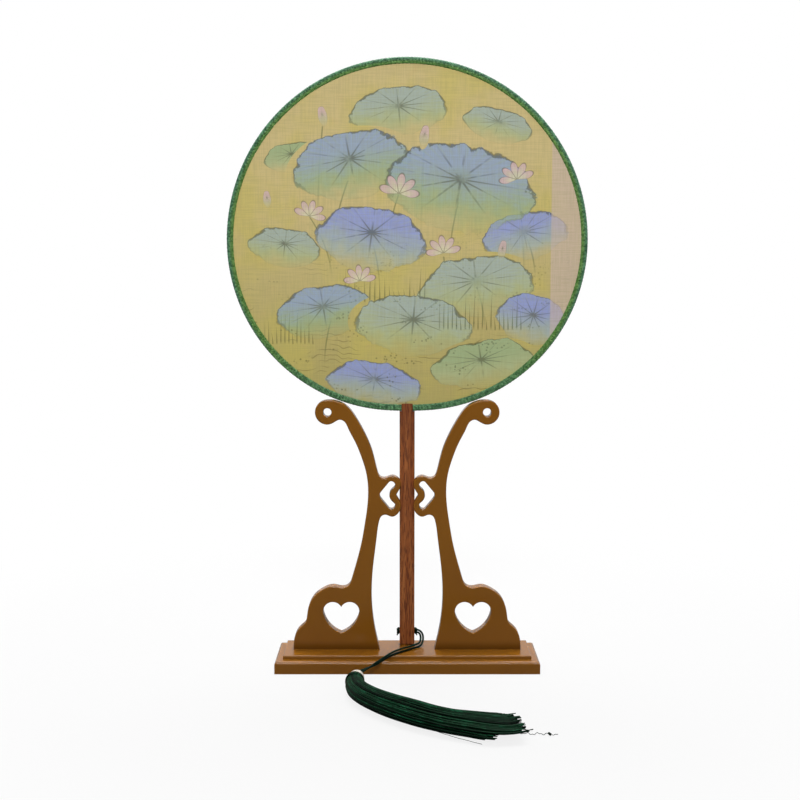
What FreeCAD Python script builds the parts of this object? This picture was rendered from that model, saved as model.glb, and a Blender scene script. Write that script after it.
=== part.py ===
import FreeCAD, Part
import math
import os
import Sketcher

# Round silk palace fan with a tassel, standing on a two-upright display stand.
# Origin: centre of the plinth's underside. +X right, +Y to the back, +Z up. Millimetres.

Vector = FreeCAD.Vector
X_AXIS = Vector(1, 0, 0)
Z_AXIS = Vector(0, 0, 1)

# ---------------------------------------------------------------- driving sizes
SIZES = [
    # plinth
    ("base_width", 191.0),
    ("base_depth", 50.0),
    ("base_height", 12.0),
    ("step_height", 9.0),
    ("step_inset_side", 5.75),
    ("step_inset_front", 5.5),
    ("ovolo_radius", 2.4),
    ("step_rounding", 0.8),
    # uprights
    ("board_thickness", 9.0),
    ("board_setback", 20.0),
    ("board_rounding", 0.8),
    ("upright_height", 183.9),
    ("upright_reach", 83.2),
    ("scroll_hole_radius", 3.0),
    # screws
    ("screw_radius", 1.5),
    ("screw_head_radius", 3.0),
    ("screw_length", 21.0),
    ("screw_sink", 0.6),
    ("screw_near", 33.0),
    ("screw_far", 68.0),
    ("screw_clearance", 0.1),
    # handle
    ("handle_width", 11.0),
    ("handle_thickness", 7.0),
    ("handle_length", 180.5),
    ("handle_rounding", 1.5),
    ("foot_rounding", 1.2),
    ("cheek_width", 8.0),
    ("cheek_margin", 0.5),
    ("cord_hole_height", 10.0),
    # rim
    ("rim_top_radius", 129.5),
    ("rim_side_shift", 7.5),
    ("rim_foot_radius", 250.0),
    ("braid_width", 5.2),
    ("braid_thickness", 4.4),
    ("braid_wall", 1.0),
    ("braid_rounding", 0.8),
    ("hoop_depth", 2.6),
    ("hoop_thickness", 2.0),
    ("silk_thickness", 0.25),
    ("layer_gap", 0.03),
    ("slot_clearance", 0.1),
    # stance of the fan behind the uprights
    ("cord_channel", 2.9),
    ("rest_gap", 0.3),
    ("seat_gap", 0.03),
    # cord and tassel
    ("cord_radius", 1.0),
    ("cord_clearance", 0.25),
    ("knot_radius", 0.95),
    ("knot_gap", 0.1),
    ("bead_radius", 5.3),
    ("cap_radius", 6.2),
    ("cap_wall", 0.8),
    ("cap_length", 9.5),
    ("part_gap", 0.1),
    ("skirt_height", 10.4),
    ("skirt_width", 29.0),
    ("floor_gap", 0.2),
]

# The drawn outline of the right upright: distance from the centre line, height above the plinth.
# It is stretched to the sizes upright_reach and upright_height.
DRAWN_REACH = 83.2
DRAWN_HEIGHT = 183.9
LOBE_TOP = 128.6
INNER_EDGE = [
    # leg
    *[(20.0, 0.0), (23.7, 15.9), (25.7, 32.0), (25.8, 50.1), (24.4, 65.8), (22.1, 84.1), (20.2, 96.0)],
    # lower lobe, notch and upper lobe
    *[(18.6, 99.2), (15.6, 100.2), (11.2, 98.8), (6.8, 101.0), (4.7, 106.0), (5.6, 110.2)],
    *[(7.1, 112.8), (7.8, 114.6), (7.1, 116.4)],
    *[(5.5, 119.1), (4.7, 122.9), (6.6, 126.9), (11.2, LOBE_TOP), (16.5, 127.1), (19.6, 128.0)],
    # arm
    *[(21.6, 132.0), (25.8, 148.3), (30.5, 159.4), (37.8, 172.6), (43.6, 179.6), (50.6, 183.0)],
]
SCROLL_CENTRE = (57.6, 175.0)
SCROLL_TURN = 222.0
OUTER_EDGE = [
    # neck and arm
    *[(48.9, 169.6), (45.3, 168.2), (42.7, 163.6)],
    *[(37.8, 154.0), (32.9, 142.0), (29.5, 130.2), (28.3, 118.3), (28.8, 107.7), (31.1, 91.5)],
    # leg
    *[(33.0, 80.5), (37.0, 64.3), (40.4, 52.6), (42.4, 48.3)],
    # cloud and toe
    *[(46.4, 46.3), (53.8, 47.3), (61.0, 45.2), (68.0, 39.8), (72.2, 31.4), (73.5, 23.4)],
    *[(74.4, 20.3), (77.0, 17.6), (80.4, 14.0), (82.6, 8.6), (83.2, 3.0), (83.2, 0.0)],
]
EDGE_SPAN = 6  # drawn points per curve of the outline
HEART_CENTRE = (48.2, 28.5)
HEART_LOBE_RADIUS = 7.0
HEART_LOBE_OFFSET = 6.2
HEART_DEPTH = 16.2
HEART_TIP_SLOPE = 20.0  # degrees above level of the sides where they would meet
HEART_TIP_RADIUS = 1.0
EYE_MIDDLE = 114.5
EYE_VERTEX = 19.9
EYE_VERTEX_RADIUS = 4.0
EYE_SIDE = [(13.4, 9.4), (11.2, 10.3), (9.0, 8.6), (8.9, 6.5), (10.6, 4.7), (12.3, 2.5), (12.9, 0.0)]

doc = FreeCAD.newDocument("palace_fan")
sheet = doc.addObject("Spreadsheet::Sheet", "sizes")
for row, (alias, value) in enumerate(SIZES, start=1):
    sheet.set(f"A{row}", str(value))
    sheet.setAlias(f"A{row}", alias)
doc.recompute()


def size(alias):
    """A driving size, read from the sheet."""
    return float(sheet.get(alias))


# ---------------------------------------------------------------- helpers
def bind(thing, **expressions):
    """Ties properties to the sheet; a double underscore in a name stands for a dot."""
    for name, expression in expressions.items():
        thing.setExpression(name.replace("__", "."), expression)


def new_body(label):
    body = doc.addObject("PartDesign::Body", label)
    body.Label = label
    return body


def new_sketch(body, name, plane):
    """An empty sketch on one of the body's own origin planes."""
    sketch = body.newObject("Sketcher::SketchObject", name)
    face = [part for part in body.Origin.OriginFeatures if part.Role == plane][0]
    sketch.AttachmentSupport = [(face, "")]
    sketch.MapMode = "FlatFace"
    return sketch


def join_ends(sketch, first, count):
    """Ties the end of each curve to the next one's, round a closed outline."""
    for step in range(count):
        here = first + step
        after = first + (step + 1) % count
        pairs = [(a, b) for a in (1, 2) for b in (1, 2)]
        gaps = [sketch.getPoint(here, a).distanceToPoint(sketch.getPoint(after, b)) for a, b in pairs]
        a, b = pairs[gaps.index(min(gaps))]
        sketch.addConstraint(Sketcher.Constraint("Coincident", here, a, after, b))


def add_outline(sketch, curves):
    """Adds a closed chain of curves, whose ends already meet, to a sketch."""
    for curve in curves:
        sketch.addGeometry(curve, False)


def add_rectangle(sketch, width, height, bottom=None):
    """A rectangle about the sketch's upright axis, sized by expressions.

    It is centred on the origin, or stands with its lower edge at the expression bottom.
    """
    corners = [Vector(-1, 1, 0), Vector(1, 1, 0), Vector(1, 2, 0), Vector(-1, 2, 0)]
    first = sketch.GeometryCount
    for here, after in zip(corners, corners[1:] + corners[:1]):
        sketch.addGeometry(Part.LineSegment(here, after), False)
    join_ends(sketch, first, 4)
    low, right, high, left = range(first, first + 4)
    sketch.addConstraint(Sketcher.Constraint("Horizontal", high))
    for line in (right, left):
        sketch.addConstraint(Sketcher.Constraint("Vertical", line))
    across = sketch.addConstraint(Sketcher.Constraint("DistanceX", low, 1, low, 2, 2.0))
    sketch.setExpression(f"Constraints[{across}]", width)
    up = sketch.addConstraint(Sketcher.Constraint("DistanceY", right, 1, right, 2, 1.0))
    sketch.setExpression(f"Constraints[{up}]", height)
    if bottom is None:
        sketch.addConstraint(Sketcher.Constraint("Horizontal", low))
        sketch.addConstraint(Sketcher.Constraint("Symmetric", low, 1, high, 1, -1, 1))
        return
    sketch.addConstraint(Sketcher.Constraint("Symmetric", low, 1, low, 2, -2))
    if bottom:
        lift = sketch.addConstraint(Sketcher.Constraint("DistanceY", -1, 1, low, 1, 1.0))
        sketch.setExpression(f"Constraints[{lift}]", bottom)
    else:
        sketch.addConstraint(Sketcher.Constraint("PointOnObject", low, 1, -1))


def add_circle(sketch, radius, centre):
    """A circle at a fixed centre whose radius follows an expression."""
    ring = sketch.addGeometry(Part.Circle(centre, Z_AXIS, 1.0), False)
    across = sketch.addConstraint(Sketcher.Constraint("Radius", ring, 1.0))
    sketch.setExpression(f"Constraints[{across}]", radius)


def pad(body, sketch, length, both_ways=False):
    feature = body.newObject("PartDesign::Pad", f"{sketch.Name}_pad")
    feature.Profile = sketch
    feature.SideType = "Symmetric" if both_ways else "One side"
    bind(feature, Length=length)
    return feature


def pocket(body, sketch, length=None, both_ways=False, reversed_way=False):
    """Cuts the sketch out, through everything where no length is given."""
    feature = body.newObject("PartDesign::Pocket", f"{sketch.Name}_cut")
    feature.Profile = sketch
    feature.SideType = "Symmetric" if both_ways else "One side"
    feature.Reversed = reversed_way
    if length is None:
        feature.Type = "ThroughAll"
    else:
        bind(feature, Length=length)
    return feature


def round_edges(body, name, radius, wanted):
    """Rounds the edges of the body's last feature that wanted() picks."""
    doc.recompute()
    base = body.Tip
    edges = [f"Edge{number}" for number, edge in enumerate(base.Shape.Edges, start=1) if wanted(edge)]
    feature = body.newObject("PartDesign::Fillet", name)
    feature.Base = (base, edges)
    bind(feature, Radius=radius)
    return feature


def lies_at(edge, axis, place):
    """True if the whole edge lies in the plane axis = place."""
    box = edge.BoundBox
    low = getattr(box, f"{axis}Min")
    high = getattr(box, f"{axis}Max")
    return abs(low - place) < 1e-4 and abs(high - place) < 1e-4


def upright_edge(edge):
    """True for a straight edge that runs along Z."""
    box = edge.BoundBox
    return box.ZLength > 1.0 and box.XLength < 1e-6 and box.YLength < 1e-6


# ---------------------------------------------------------------- plinth
def make_base():
    body = new_body("base")
    lower = new_sketch(body, "base_lower", "XY_Plane")
    add_rectangle(lower, "sizes.base_width", "sizes.base_depth")
    pad(body, lower, "sizes.step_height")
    step = size("step_height")
    round_edges(body, "base_ovolo", "sizes.ovolo_radius", lambda edge: lies_at(edge, "Z", step))

    upper = new_sketch(body, "base_upper", "XY_Plane")
    add_rectangle(
        upper,
        "sizes.base_width - 2 * sizes.step_inset_side",
        "sizes.base_depth - 2 * sizes.step_inset_front",
    )
    pad(body, upper, "sizes.base_height")
    top = size("base_height")
    round_edges(body, "base_step_round", "sizes.step_rounding", lambda edge: lies_at(edge, "Z", top))

    # clearance holes and countersinks for the four screws, from the underside
    for name, side, reach in screw_places():
        centre = Vector(side * size(reach), board_middle(), 0)
        hole = new_sketch(body, f"base_hole_{name}", "XY_Plane")
        add_circle(hole, "sizes.screw_radius + sizes.screw_clearance", centre)
        pocket(body, hole, reversed_way=True)
        sink = new_sketch(body, f"base_sink_{name}", "XY_Plane")
        add_circle(sink, "sizes.screw_head_radius + sizes.screw_clearance + sizes.screw_sink", centre)
        cone = pocket(body, sink, "sizes.screw_head_radius + sizes.screw_sink - sizes.screw_radius", reversed_way=True)
        cone.TaperAngle = -45
    return body


def screw_places():
    """Name, side and named distance from the centre line of each screw."""
    return [
        (f"{side_name}_{spot}", side, f"screw_{spot}")
        for side_name, side in (("left", -1), ("right", 1))
        for spot in ("near", "far")
    ]


def board_middle():
    """Y of the middle of the uprights' thickness."""
    return -size("base_depth") / 2 + size("board_setback") + size("board_thickness") / 2


# ---------------------------------------------------------------- uprights
def drawn_point(side, x, z):
    """A point of the drawn outline on the real upright of that side."""
    stretch_x = size("upright_reach") / DRAWN_REACH
    stretch_z = size("upright_height") / DRAWN_HEIGHT
    return Vector(side * x * stretch_x, z * stretch_z, 0)


def upright_curves(side):
    """The closed outline of one upright, mirrored to its side, from its inner foot corner."""

    def place(point):
        return drawn_point(side, *point)

    radius = DRAWN_HEIGHT - SCROLL_CENTRE[1]
    turns = [math.radians(90 - step * (SCROLL_TURN / 6)) for step in range(7)]
    scroll = [
        (SCROLL_CENTRE[0] + radius * math.cos(turn), SCROLL_CENTRE[1] + radius * math.sin(turn)) for turn in turns
    ]
    edge = Part.BSplineCurve()
    edge.interpolate([place(point) for point in INNER_EDGE + scroll + OUTER_EDGE])
    knots = edge.getKnots()
    curves = []
    for first in range(0, len(knots) - 1, EDGE_SPAN):
        span = edge.copy()
        span.segment(knots[first], knots[min(first + EDGE_SPAN, len(knots) - 1)])
        curves.append(span)
    return curves + [Part.LineSegment(place(OUTER_EDGE[-1]), place(INNER_EDGE[0]))]


def heart_curves(side):
    """The heart cut-out of a foot: two round lobes with a cleft, and full sides down to a small round tip."""
    middle = drawn_point(side, *HEART_CENTRE)
    stretch = size("upright_reach") / DRAWN_REACH
    radius = HEART_LOBE_RADIUS * stretch
    offset = HEART_LOBE_OFFSET * stretch
    depth = HEART_DEPTH * stretch
    tip_radius = HEART_TIP_RADIUS * stretch
    slope = math.radians(HEART_TIP_SLOPE)
    side_room = depth * math.cos(slope) - offset * math.sin(slope) - radius
    side_radius = (offset**2 + depth**2 - radius**2) / (2 * side_room)
    side_shift = side_radius * math.sin(slope)
    side_height = side_radius * math.cos(slope) - depth
    tip_height = side_height - math.sqrt((side_radius - tip_radius) ** 2 - side_shift**2)
    tip_centre = middle + Vector(0, tip_height, 0)
    tip = tip_centre + Vector(0, -tip_radius, 0)
    dip = middle + Vector(0, math.sqrt(radius**2 - offset**2), 0)
    curves = []
    for way in (-1, 1):
        lobe = middle + Vector(way * offset, 0, 0)
        crown = lobe + radius * Vector(way * math.sqrt(0.5), math.sqrt(0.5), 0)
        centre = middle + Vector(-way * side_shift, side_height, 0)
        flank = centre + side_radius * (lobe - centre).normalize()
        chin = centre + side_radius * (tip_centre - centre).normalize()
        belly = centre + side_radius * ((chin + flank) / 2 - centre).normalize()
        turn = tip_centre + tip_radius * ((tip + chin) / 2 - tip_centre).normalize()
        half = [Part.Arc(tip, turn, chin), Part.Arc(chin, belly, flank), Part.Arc(flank, crown, dip)]
        curves += half if way < 0 else half[::-1]
    return curves


def eye_curves(side):
    """The sideways heart-shaped hole inside the two lobes at mid height, with a rounded corner outward."""

    def place(point, way):
        return drawn_point(side, point[0], EYE_MIDDLE + way * point[1])

    upper = [place(point, 1) for point in EYE_SIDE]
    lower = [place(point, -1) for point in EYE_SIDE[-2::-1]]
    bulge = Part.BSplineCurve()
    bulge.interpolate(upper + lower)
    reach, rise = EYE_SIDE[0][0] - (EYE_VERTEX - EYE_VERTEX_RADIUS), EYE_SIDE[0][1]
    turn = math.atan2(rise, reach) - math.acos(EYE_VERTEX_RADIUS / math.hypot(reach, rise))
    inward = EYE_VERTEX_RADIUS * (1 - math.cos(turn))
    bend = (EYE_VERTEX - inward, EYE_VERTEX_RADIUS * math.sin(turn))
    corner = Part.Arc(place(bend, -1), place((EYE_VERTEX, 0.0), 1), place(bend, 1))
    return [
        Part.LineSegment(place(bend, 1), upper[0]),
        bulge,
        Part.LineSegment(lower[-1], place(bend, -1)),
        corner,
    ]


def make_upright(label, side):
    body = new_body(label)
    outline = new_sketch(body, f"{label}_outline", "XZ_Plane")
    add_outline(outline, upright_curves(side))
    pad(body, outline, "sizes.board_thickness", both_ways=True)

    heart = new_sketch(body, f"{label}_heart", "XZ_Plane")
    add_outline(heart, heart_curves(side))
    pocket(body, heart, "sizes.board_thickness * 2", both_ways=True)
    eye = new_sketch(body, f"{label}_eye", "XZ_Plane")
    add_outline(eye, eye_curves(side))
    pocket(body, eye, "sizes.board_thickness * 2", both_ways=True)
    scroll = new_sketch(body, f"{label}_scroll_hole", "XZ_Plane")
    add_circle(scroll, "sizes.scroll_hole_radius", drawn_point(side, *SCROLL_CENTRE))
    pocket(body, scroll, "sizes.board_thickness * 2", both_ways=True)

    face = size("board_thickness") / 2
    foot = 1e-4
    round_edges(
        body,
        f"{label}_round",
        "sizes.board_rounding",
        lambda edge: (lies_at(edge, "Y", face) or lies_at(edge, "Y", -face)) and edge.BoundBox.ZMax > foot,
    )
    for name, screw_side, reach in screw_places():
        if screw_side == side:
            pilot = new_sketch(body, f"{label}_pilot_{name}", "XY_Plane")
            add_circle(pilot, "sizes.screw_radius + sizes.screw_clearance", Vector(side * size(reach), 0, 0))
            pocket(body, pilot, "sizes.screw_length - sizes.base_height + 1", reversed_way=True)
    bind(
        body,
        Placement__Base__y="-sizes.base_depth / 2 + sizes.board_setback + sizes.board_thickness / 2",
        Placement__Base__z="sizes.base_height",
    )
    return body


# ---------------------------------------------------------------- screws
def make_screws(label, side):
    """Two countersunk wood screws, head down, as one group."""
    screws = []
    for name, screw_side, reach in screw_places():
        if screw_side != side:
            continue
        head = doc.addObject("Part::Cone", f"screw_head_{name}")
        bind(
            head,
            Radius1="sizes.screw_head_radius",
            Radius2="sizes.screw_radius",
            Height="sizes.screw_head_radius - sizes.screw_radius",
        )
        shank = doc.addObject("Part::Cylinder", f"screw_shank_{name}")
        bind(shank, Radius="sizes.screw_radius", Height="sizes.screw_length - 2 * sizes.screw_radius")
        tip = doc.addObject("Part::Cone", f"screw_tip_{name}")
        bind(
            tip,
            Radius1="sizes.screw_radius",
            Height="2 * sizes.screw_radius",
            Placement__Base__z="sizes.screw_length - 2 * sizes.screw_radius",
        )
        tip.Radius2 = 0
        solid = doc.addObject("Part::MultiFuse", f"screw_solid_{name}")
        solid.Shapes = [head, shank, tip]
        slots = []
        for turn in (0, 1):
            slot = doc.addObject("Part::Box", f"screw_slot_{name}_{turn}")
            long_side, short_side = ("Length", "Width") if turn == 0 else ("Width", "Length")
            bind(slot, **{long_side: "sizes.screw_head_radius * 1.2", short_side: "sizes.screw_radius * 0.5"})
            bind(slot, Height="sizes.screw_sink * 1.5")
            bind(slot, Placement__Base__x="-Length / 2", Placement__Base__y="-Width / 2")
            slots.append(slot)
        cross = doc.addObject("Part::MultiFuse", f"screw_cross_{name}")
        cross.Shapes = slots
        screw = doc.addObject("Part::Cut", f"screw_{name}")
        screw.Base = solid
        screw.Tool = cross
        bind(
            screw,
            Placement__Base__x=f"{side} * sizes.{reach}",
            Placement__Base__y="-sizes.base_depth / 2 + sizes.board_setback + sizes.board_thickness / 2",
            Placement__Base__z="sizes.screw_sink",
        )
        screws.append(screw)
    group = doc.addObject("Part::Compound", label)
    group.Label = label
    group.Links = screws
    return group


# ---------------------------------------------------------------- stance of the fan
RIM_FOOT = "sizes.handle_length - sizes.cheek_margin - sizes.braid_width"


def rim_foot():
    """Height of the rim's lowest point above the handle's foot."""
    return size("handle_length") - size("cheek_margin") - size("braid_width")


def fan_stance():
    """Depth and height of the handle's foot, and the fan's forward lean in degrees.

    The fan stands behind the uprights and leans forward until the handle nears the lobes
    or the rim nears the scrolls, whichever comes first.
    """
    lobe_top = LOBE_TOP * size("upright_height") / DRAWN_HEIGHT
    handle_share = (size("cord_channel") - size("rest_gap")) / lobe_top
    rim_setback = (size("handle_thickness") - size("braid_thickness")) / 2
    rim_share = (size("cord_channel") + rim_setback - size("rest_gap")) / size("upright_height")
    lean = math.atan(min(handle_share, rim_share))
    back_face = -size("base_depth") / 2 + size("board_setback") + size("board_thickness")
    depth = back_face + size("cord_channel") + size("handle_thickness") / 2
    height = size("base_height") + size("seat_gap") + size("handle_thickness") / 2 * math.sin(lean)
    return depth, height, math.degrees(lean)


def stand_fan(piece):
    """Places a piece that is drawn about the handle's foot."""
    depth, height, lean = fan_stance()
    piece.Placement = FreeCAD.Placement(Vector(0, depth, height), FreeCAD.Rotation(X_AXIS, lean))
    return piece


# ---------------------------------------------------------------- handle
def make_handle():
    body = new_body("handle")
    stick = new_sketch(body, "handle_stick", "XZ_Plane")
    add_rectangle(stick, "sizes.handle_width", f"{RIM_FOOT} - sizes.slot_clearance", bottom="")
    pad(body, stick, "sizes.handle_thickness", both_ways=True)
    round_edges(body, "handle_long_round", "sizes.handle_rounding", upright_edge)
    round_edges(body, "handle_foot_round", "sizes.foot_rounding", lambda edge: lies_at(edge, "Z", 0))

    cheeks = new_sketch(body, "handle_cheeks", "XZ_Plane")
    add_rectangle(cheeks, "sizes.cheek_width", "sizes.handle_length / 2", bottom="sizes.handle_length / 2")
    pad(body, cheeks, "sizes.handle_thickness - sizes.slot_clearance", both_ways=True)

    slot = new_sketch(body, "handle_slot", "XZ_Plane")
    add_rectangle(slot, "sizes.handle_width * 2", "sizes.braid_width * 2", bottom=f"{RIM_FOOT} - sizes.slot_clearance")
    pocket(body, slot, "sizes.braid_thickness + 2 * sizes.slot_clearance", both_ways=True)

    hole = new_sketch(body, "handle_cord_hole", "YZ_Plane")
    ring = hole.addGeometry(Part.Circle(Vector(0, 1, 0), Z_AXIS, 1.0), False)
    hole.addConstraint(Sketcher.Constraint("PointOnObject", ring, 3, -2))
    lift = hole.addConstraint(Sketcher.Constraint("DistanceY", -1, 1, ring, 3, 1.0))
    hole.setExpression(f"Constraints[{lift}]", "sizes.cord_hole_height")
    across = hole.addConstraint(Sketcher.Constraint("Radius", ring, 1.0))
    hole.setExpression(f"Constraints[{across}]", "sizes.cord_radius + sizes.cord_clearance")
    pocket(body, hole, "sizes.handle_width * 2", both_ways=True)
    return stand_fan(body)


# ---------------------------------------------------------------- rim
def rim_curves(inset):
    """The rim's oval, drawn in from its outer edge by inset, as four tangent arcs."""
    spread = size("rim_side_shift")
    side_radius = size("rim_top_radius") - spread
    foot_centre = rim_foot() + size("rim_foot_radius")
    drop = math.sqrt((size("rim_foot_radius") - side_radius) ** 2 - spread**2)
    side_centre = foot_centre - drop
    turn = math.atan2(drop, spread)

    def arc(x, z, radius, start, end):
        return Part.ArcOfCircle(Part.Circle(Vector(x, z, 0), Z_AXIS, radius - inset), start, end)

    return [
        arc(spread, side_centre, side_radius, -turn, 0),
        arc(0, side_centre, size("rim_top_radius"), 0, math.pi),
        arc(-spread, side_centre, side_radius, math.pi, math.pi + turn),
        arc(0, foot_centre, size("rim_foot_radius"), math.pi + turn, 2 * math.pi - turn),
    ]


def lining_inset():
    """How far the hoop and the silks stop short of the braid's outer edge."""
    return size("braid_wall") + size("slot_clearance")


def make_braid():
    body = new_body("edge_braid")
    ring = new_sketch(body, "braid_ring", "XZ_Plane")
    add_outline(ring, rim_curves(0))
    add_outline(ring, rim_curves(size("braid_width")))
    pad(body, ring, "sizes.braid_thickness", both_ways=True)
    face = size("braid_thickness") / 2
    round_edges(
        body,
        "braid_round",
        "sizes.braid_rounding",
        lambda edge: lies_at(edge, "Y", face) or lies_at(edge, "Y", -face),
    )
    channel = new_sketch(body, "braid_channel", "XZ_Plane")
    add_outline(channel, rim_curves(size("braid_wall")))
    pocket(body, channel, "sizes.hoop_thickness + 2 * sizes.silk_thickness + 4 * sizes.layer_gap", both_ways=True)
    return stand_fan(body)


def make_hoop():
    body = new_body("rim_hoop")
    ring = new_sketch(body, "hoop_ring", "XZ_Plane")
    add_outline(ring, rim_curves(lining_inset()))
    add_outline(ring, rim_curves(lining_inset() + size("hoop_depth")))
    pad(body, ring, "sizes.hoop_thickness", both_ways=True)
    return stand_fan(body)


def make_silk(label, way):
    """One silk, stretched over the hoop's front (way 1) or back (way -1)."""
    body = new_body(label)
    disc = new_sketch(body, f"{label}_disc", "XZ_Plane")
    add_outline(disc, rim_curves(lining_inset()))
    middle = "sizes.hoop_thickness / 2 + sizes.layer_gap + sizes.silk_thickness / 2"
    bind(disc, AttachmentOffset__Base__z=f"{way} * ({middle})")
    pad(body, disc, "sizes.silk_thickness", both_ways=True)
    return stand_fan(body)


# ---------------------------------------------------------------- cord
# The doubled cord: from inside the handle's cross hole, round a loose bulge on the right,
# between the uprights and the handle, forward through the gap and down to the tassel.
CORD_ROUTE = [
    (4.4, 10.2, 22.1),
    (8.8, 10.2, 22.1),
    (10.7, 9.4, 17.9),
    (8.6, 6.45, 13.3),
    (-1.9, 4.2, 13.25),
    (-3.0, -6.9, 13.25),
    (-8.2, -17.4, 13.8),
    (-16.4, -27.0, 12.4),
    (-25.4, -33.6, 8.6),
    (-33.6, -37.2, 5.9),
    (-34.7, -43.6, 5.5),
]
ARC_SHARE = 0.45


def cord_shape():
    """A round tube along the route: straight runs joined by tangent arcs."""
    points = [Vector(*point) for point in CORD_ROUTE]
    edges = []
    start = points[0]
    for before, corner, after in zip(points, points[1:], points[2:]):
        back = before - corner
        forward = after - corner
        turn = math.pi - back.getAngle(forward)
        tangent = ARC_SHARE * min(back.Length, forward.Length)
        radius = tangent / math.tan(turn / 2)
        back.normalize()
        forward.normalize()
        middle_way = (back + forward).normalize()
        bow = radius / math.cos(turn / 2) - radius
        entry = corner + back * tangent
        leave = corner + forward * tangent
        edges.append(Part.LineSegment(start, entry).toShape())
        edges.append(Part.Arc(entry, corner + middle_way * bow, leave).toShape())
        print(f"cord corner: turn {math.degrees(turn):.0f} deg, radius {radius:.1f} mm")
        start = leave
    edges.append(Part.LineSegment(start, points[-1]).toShape())
    path = Part.Wire(edges)
    section = Part.Wire(Part.Circle(points[0], points[1] - points[0], size("cord_radius")).toShape())
    tube = path.makePipeShell([section], True, False)
    expected = math.pi * size("cord_radius") ** 2 * path.Length
    print(f"cord: length {path.Length:.1f} mm, volume {tube.Volume:.1f} of {expected:.1f} mm3")
    return tube


def make_cord():
    cord = doc.addObject("Part::Feature", "tassel_cord")
    cord.Label = "tassel_cord"
    cord.Shape = cord_shape()
    return cord


def make_knot(label, side):
    """A ring-shaped knot beside the handle; the left one has the cord's stub in the cross hole."""
    ring = doc.addObject("Part::Torus", f"{label}_ring")
    ring.Placement.Rotation = FreeCAD.Rotation(Vector(0, 1, 0), 90)
    reach = "sizes.handle_width / 2 + sizes.knot_gap + sizes.knot_radius"
    bind(
        ring,
        Radius1="sizes.cord_radius + sizes.knot_radius + sizes.knot_gap",
        Radius2="sizes.knot_radius",
        Placement__Base__x=f"{side} * ({reach})",
        Placement__Base__z="sizes.cord_hole_height",
    )
    if side > 0:
        ring.Label = label
        return stand_knot(ring, side)
    stub = doc.addObject("Part::Cylinder", f"{label}_stub")
    stub.Placement.Rotation = FreeCAD.Rotation(Vector(0, 1, 0), 90)
    bind(
        stub,
        Radius="sizes.cord_radius + sizes.knot_gap * 1.5",
        Height=f"{reach} + {CORD_ROUTE[0][0]} - sizes.knot_gap",
        Placement__Base__x=f"-({reach})",
        Placement__Base__z="sizes.cord_hole_height",
    )
    knot = doc.addObject("Part::Fuse", f"{label}_solid")
    knot.Base = ring
    knot.Tool = stub
    knot.Label = label
    return stand_fan(knot)


def stand_knot(ring, side):
    """Places a single knot ring: its own place is along the handle, so the stance is added to it."""
    depth, height, lean = fan_stance()
    reach = size("handle_width") / 2 + size("knot_gap") + size("knot_radius")
    up = size("cord_hole_height")
    for axis in "xz":
        ring.setExpression(f"Placement.Base.{axis}", None)
    tilt = FreeCAD.Rotation(X_AXIS, lean)
    place = tilt.multVec(Vector(side * reach, 0, up)) + Vector(0, depth, height)
    ring.Placement = FreeCAD.Placement(place, tilt.multiply(FreeCAD.Rotation(Vector(0, 1, 0), 90)))
    return ring


# ---------------------------------------------------------------- tassel
BEAD_CENTRE = Vector(-35.5, -48.4, size("bead_radius") + size("floor_gap"))
TASSEL_AXIS = Vector(-0.12, -0.985, 0.085).normalize()
# x, y, width and height of each section of the threads past the cap
SKIRT_ROUTE = [
    (-33.0, -71.5, 17.0, 12.2),
    (-26.5, -82.0, 23.0, 12.2),
    (-16.5, -98.5, 25.5, 12.0),
    (0.0, -115.3, 25.5, 11.8),
    (19.0, -129.3, 27.0, 11.6),
    (39.0, -138.0, 29.0, 11.4),
    (57.5, -142.0, 30.5, 11.0),
    (69.5, -141.0, 29.0, 10.4),
]


def along_tassel(piece, distance):
    """Places a piece that is drawn along Z, at a distance past the bead's centre."""
    place = BEAD_CENTRE + TASSEL_AXIS * distance
    piece.Placement = FreeCAD.Placement(place, FreeCAD.Rotation(Z_AXIS, TASSEL_AXIS))
    return piece


def make_bead():
    ball = doc.addObject("Part::Sphere", "bead_ball")
    bind(ball, Radius="sizes.bead_radius")
    bore = doc.addObject("Part::Cylinder", "bead_bore")
    bind(
        bore,
        Radius="sizes.cord_radius + sizes.cord_clearance",
        Height="4 * sizes.bead_radius",
        Placement__Base__z="-2 * sizes.bead_radius",
    )
    bead = doc.addObject("Part::Cut", "tassel_bead")
    bead.Label = "tassel_bead"
    bead.Base = ball
    bead.Tool = bore
    return along_tassel(bead, 0)


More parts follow.
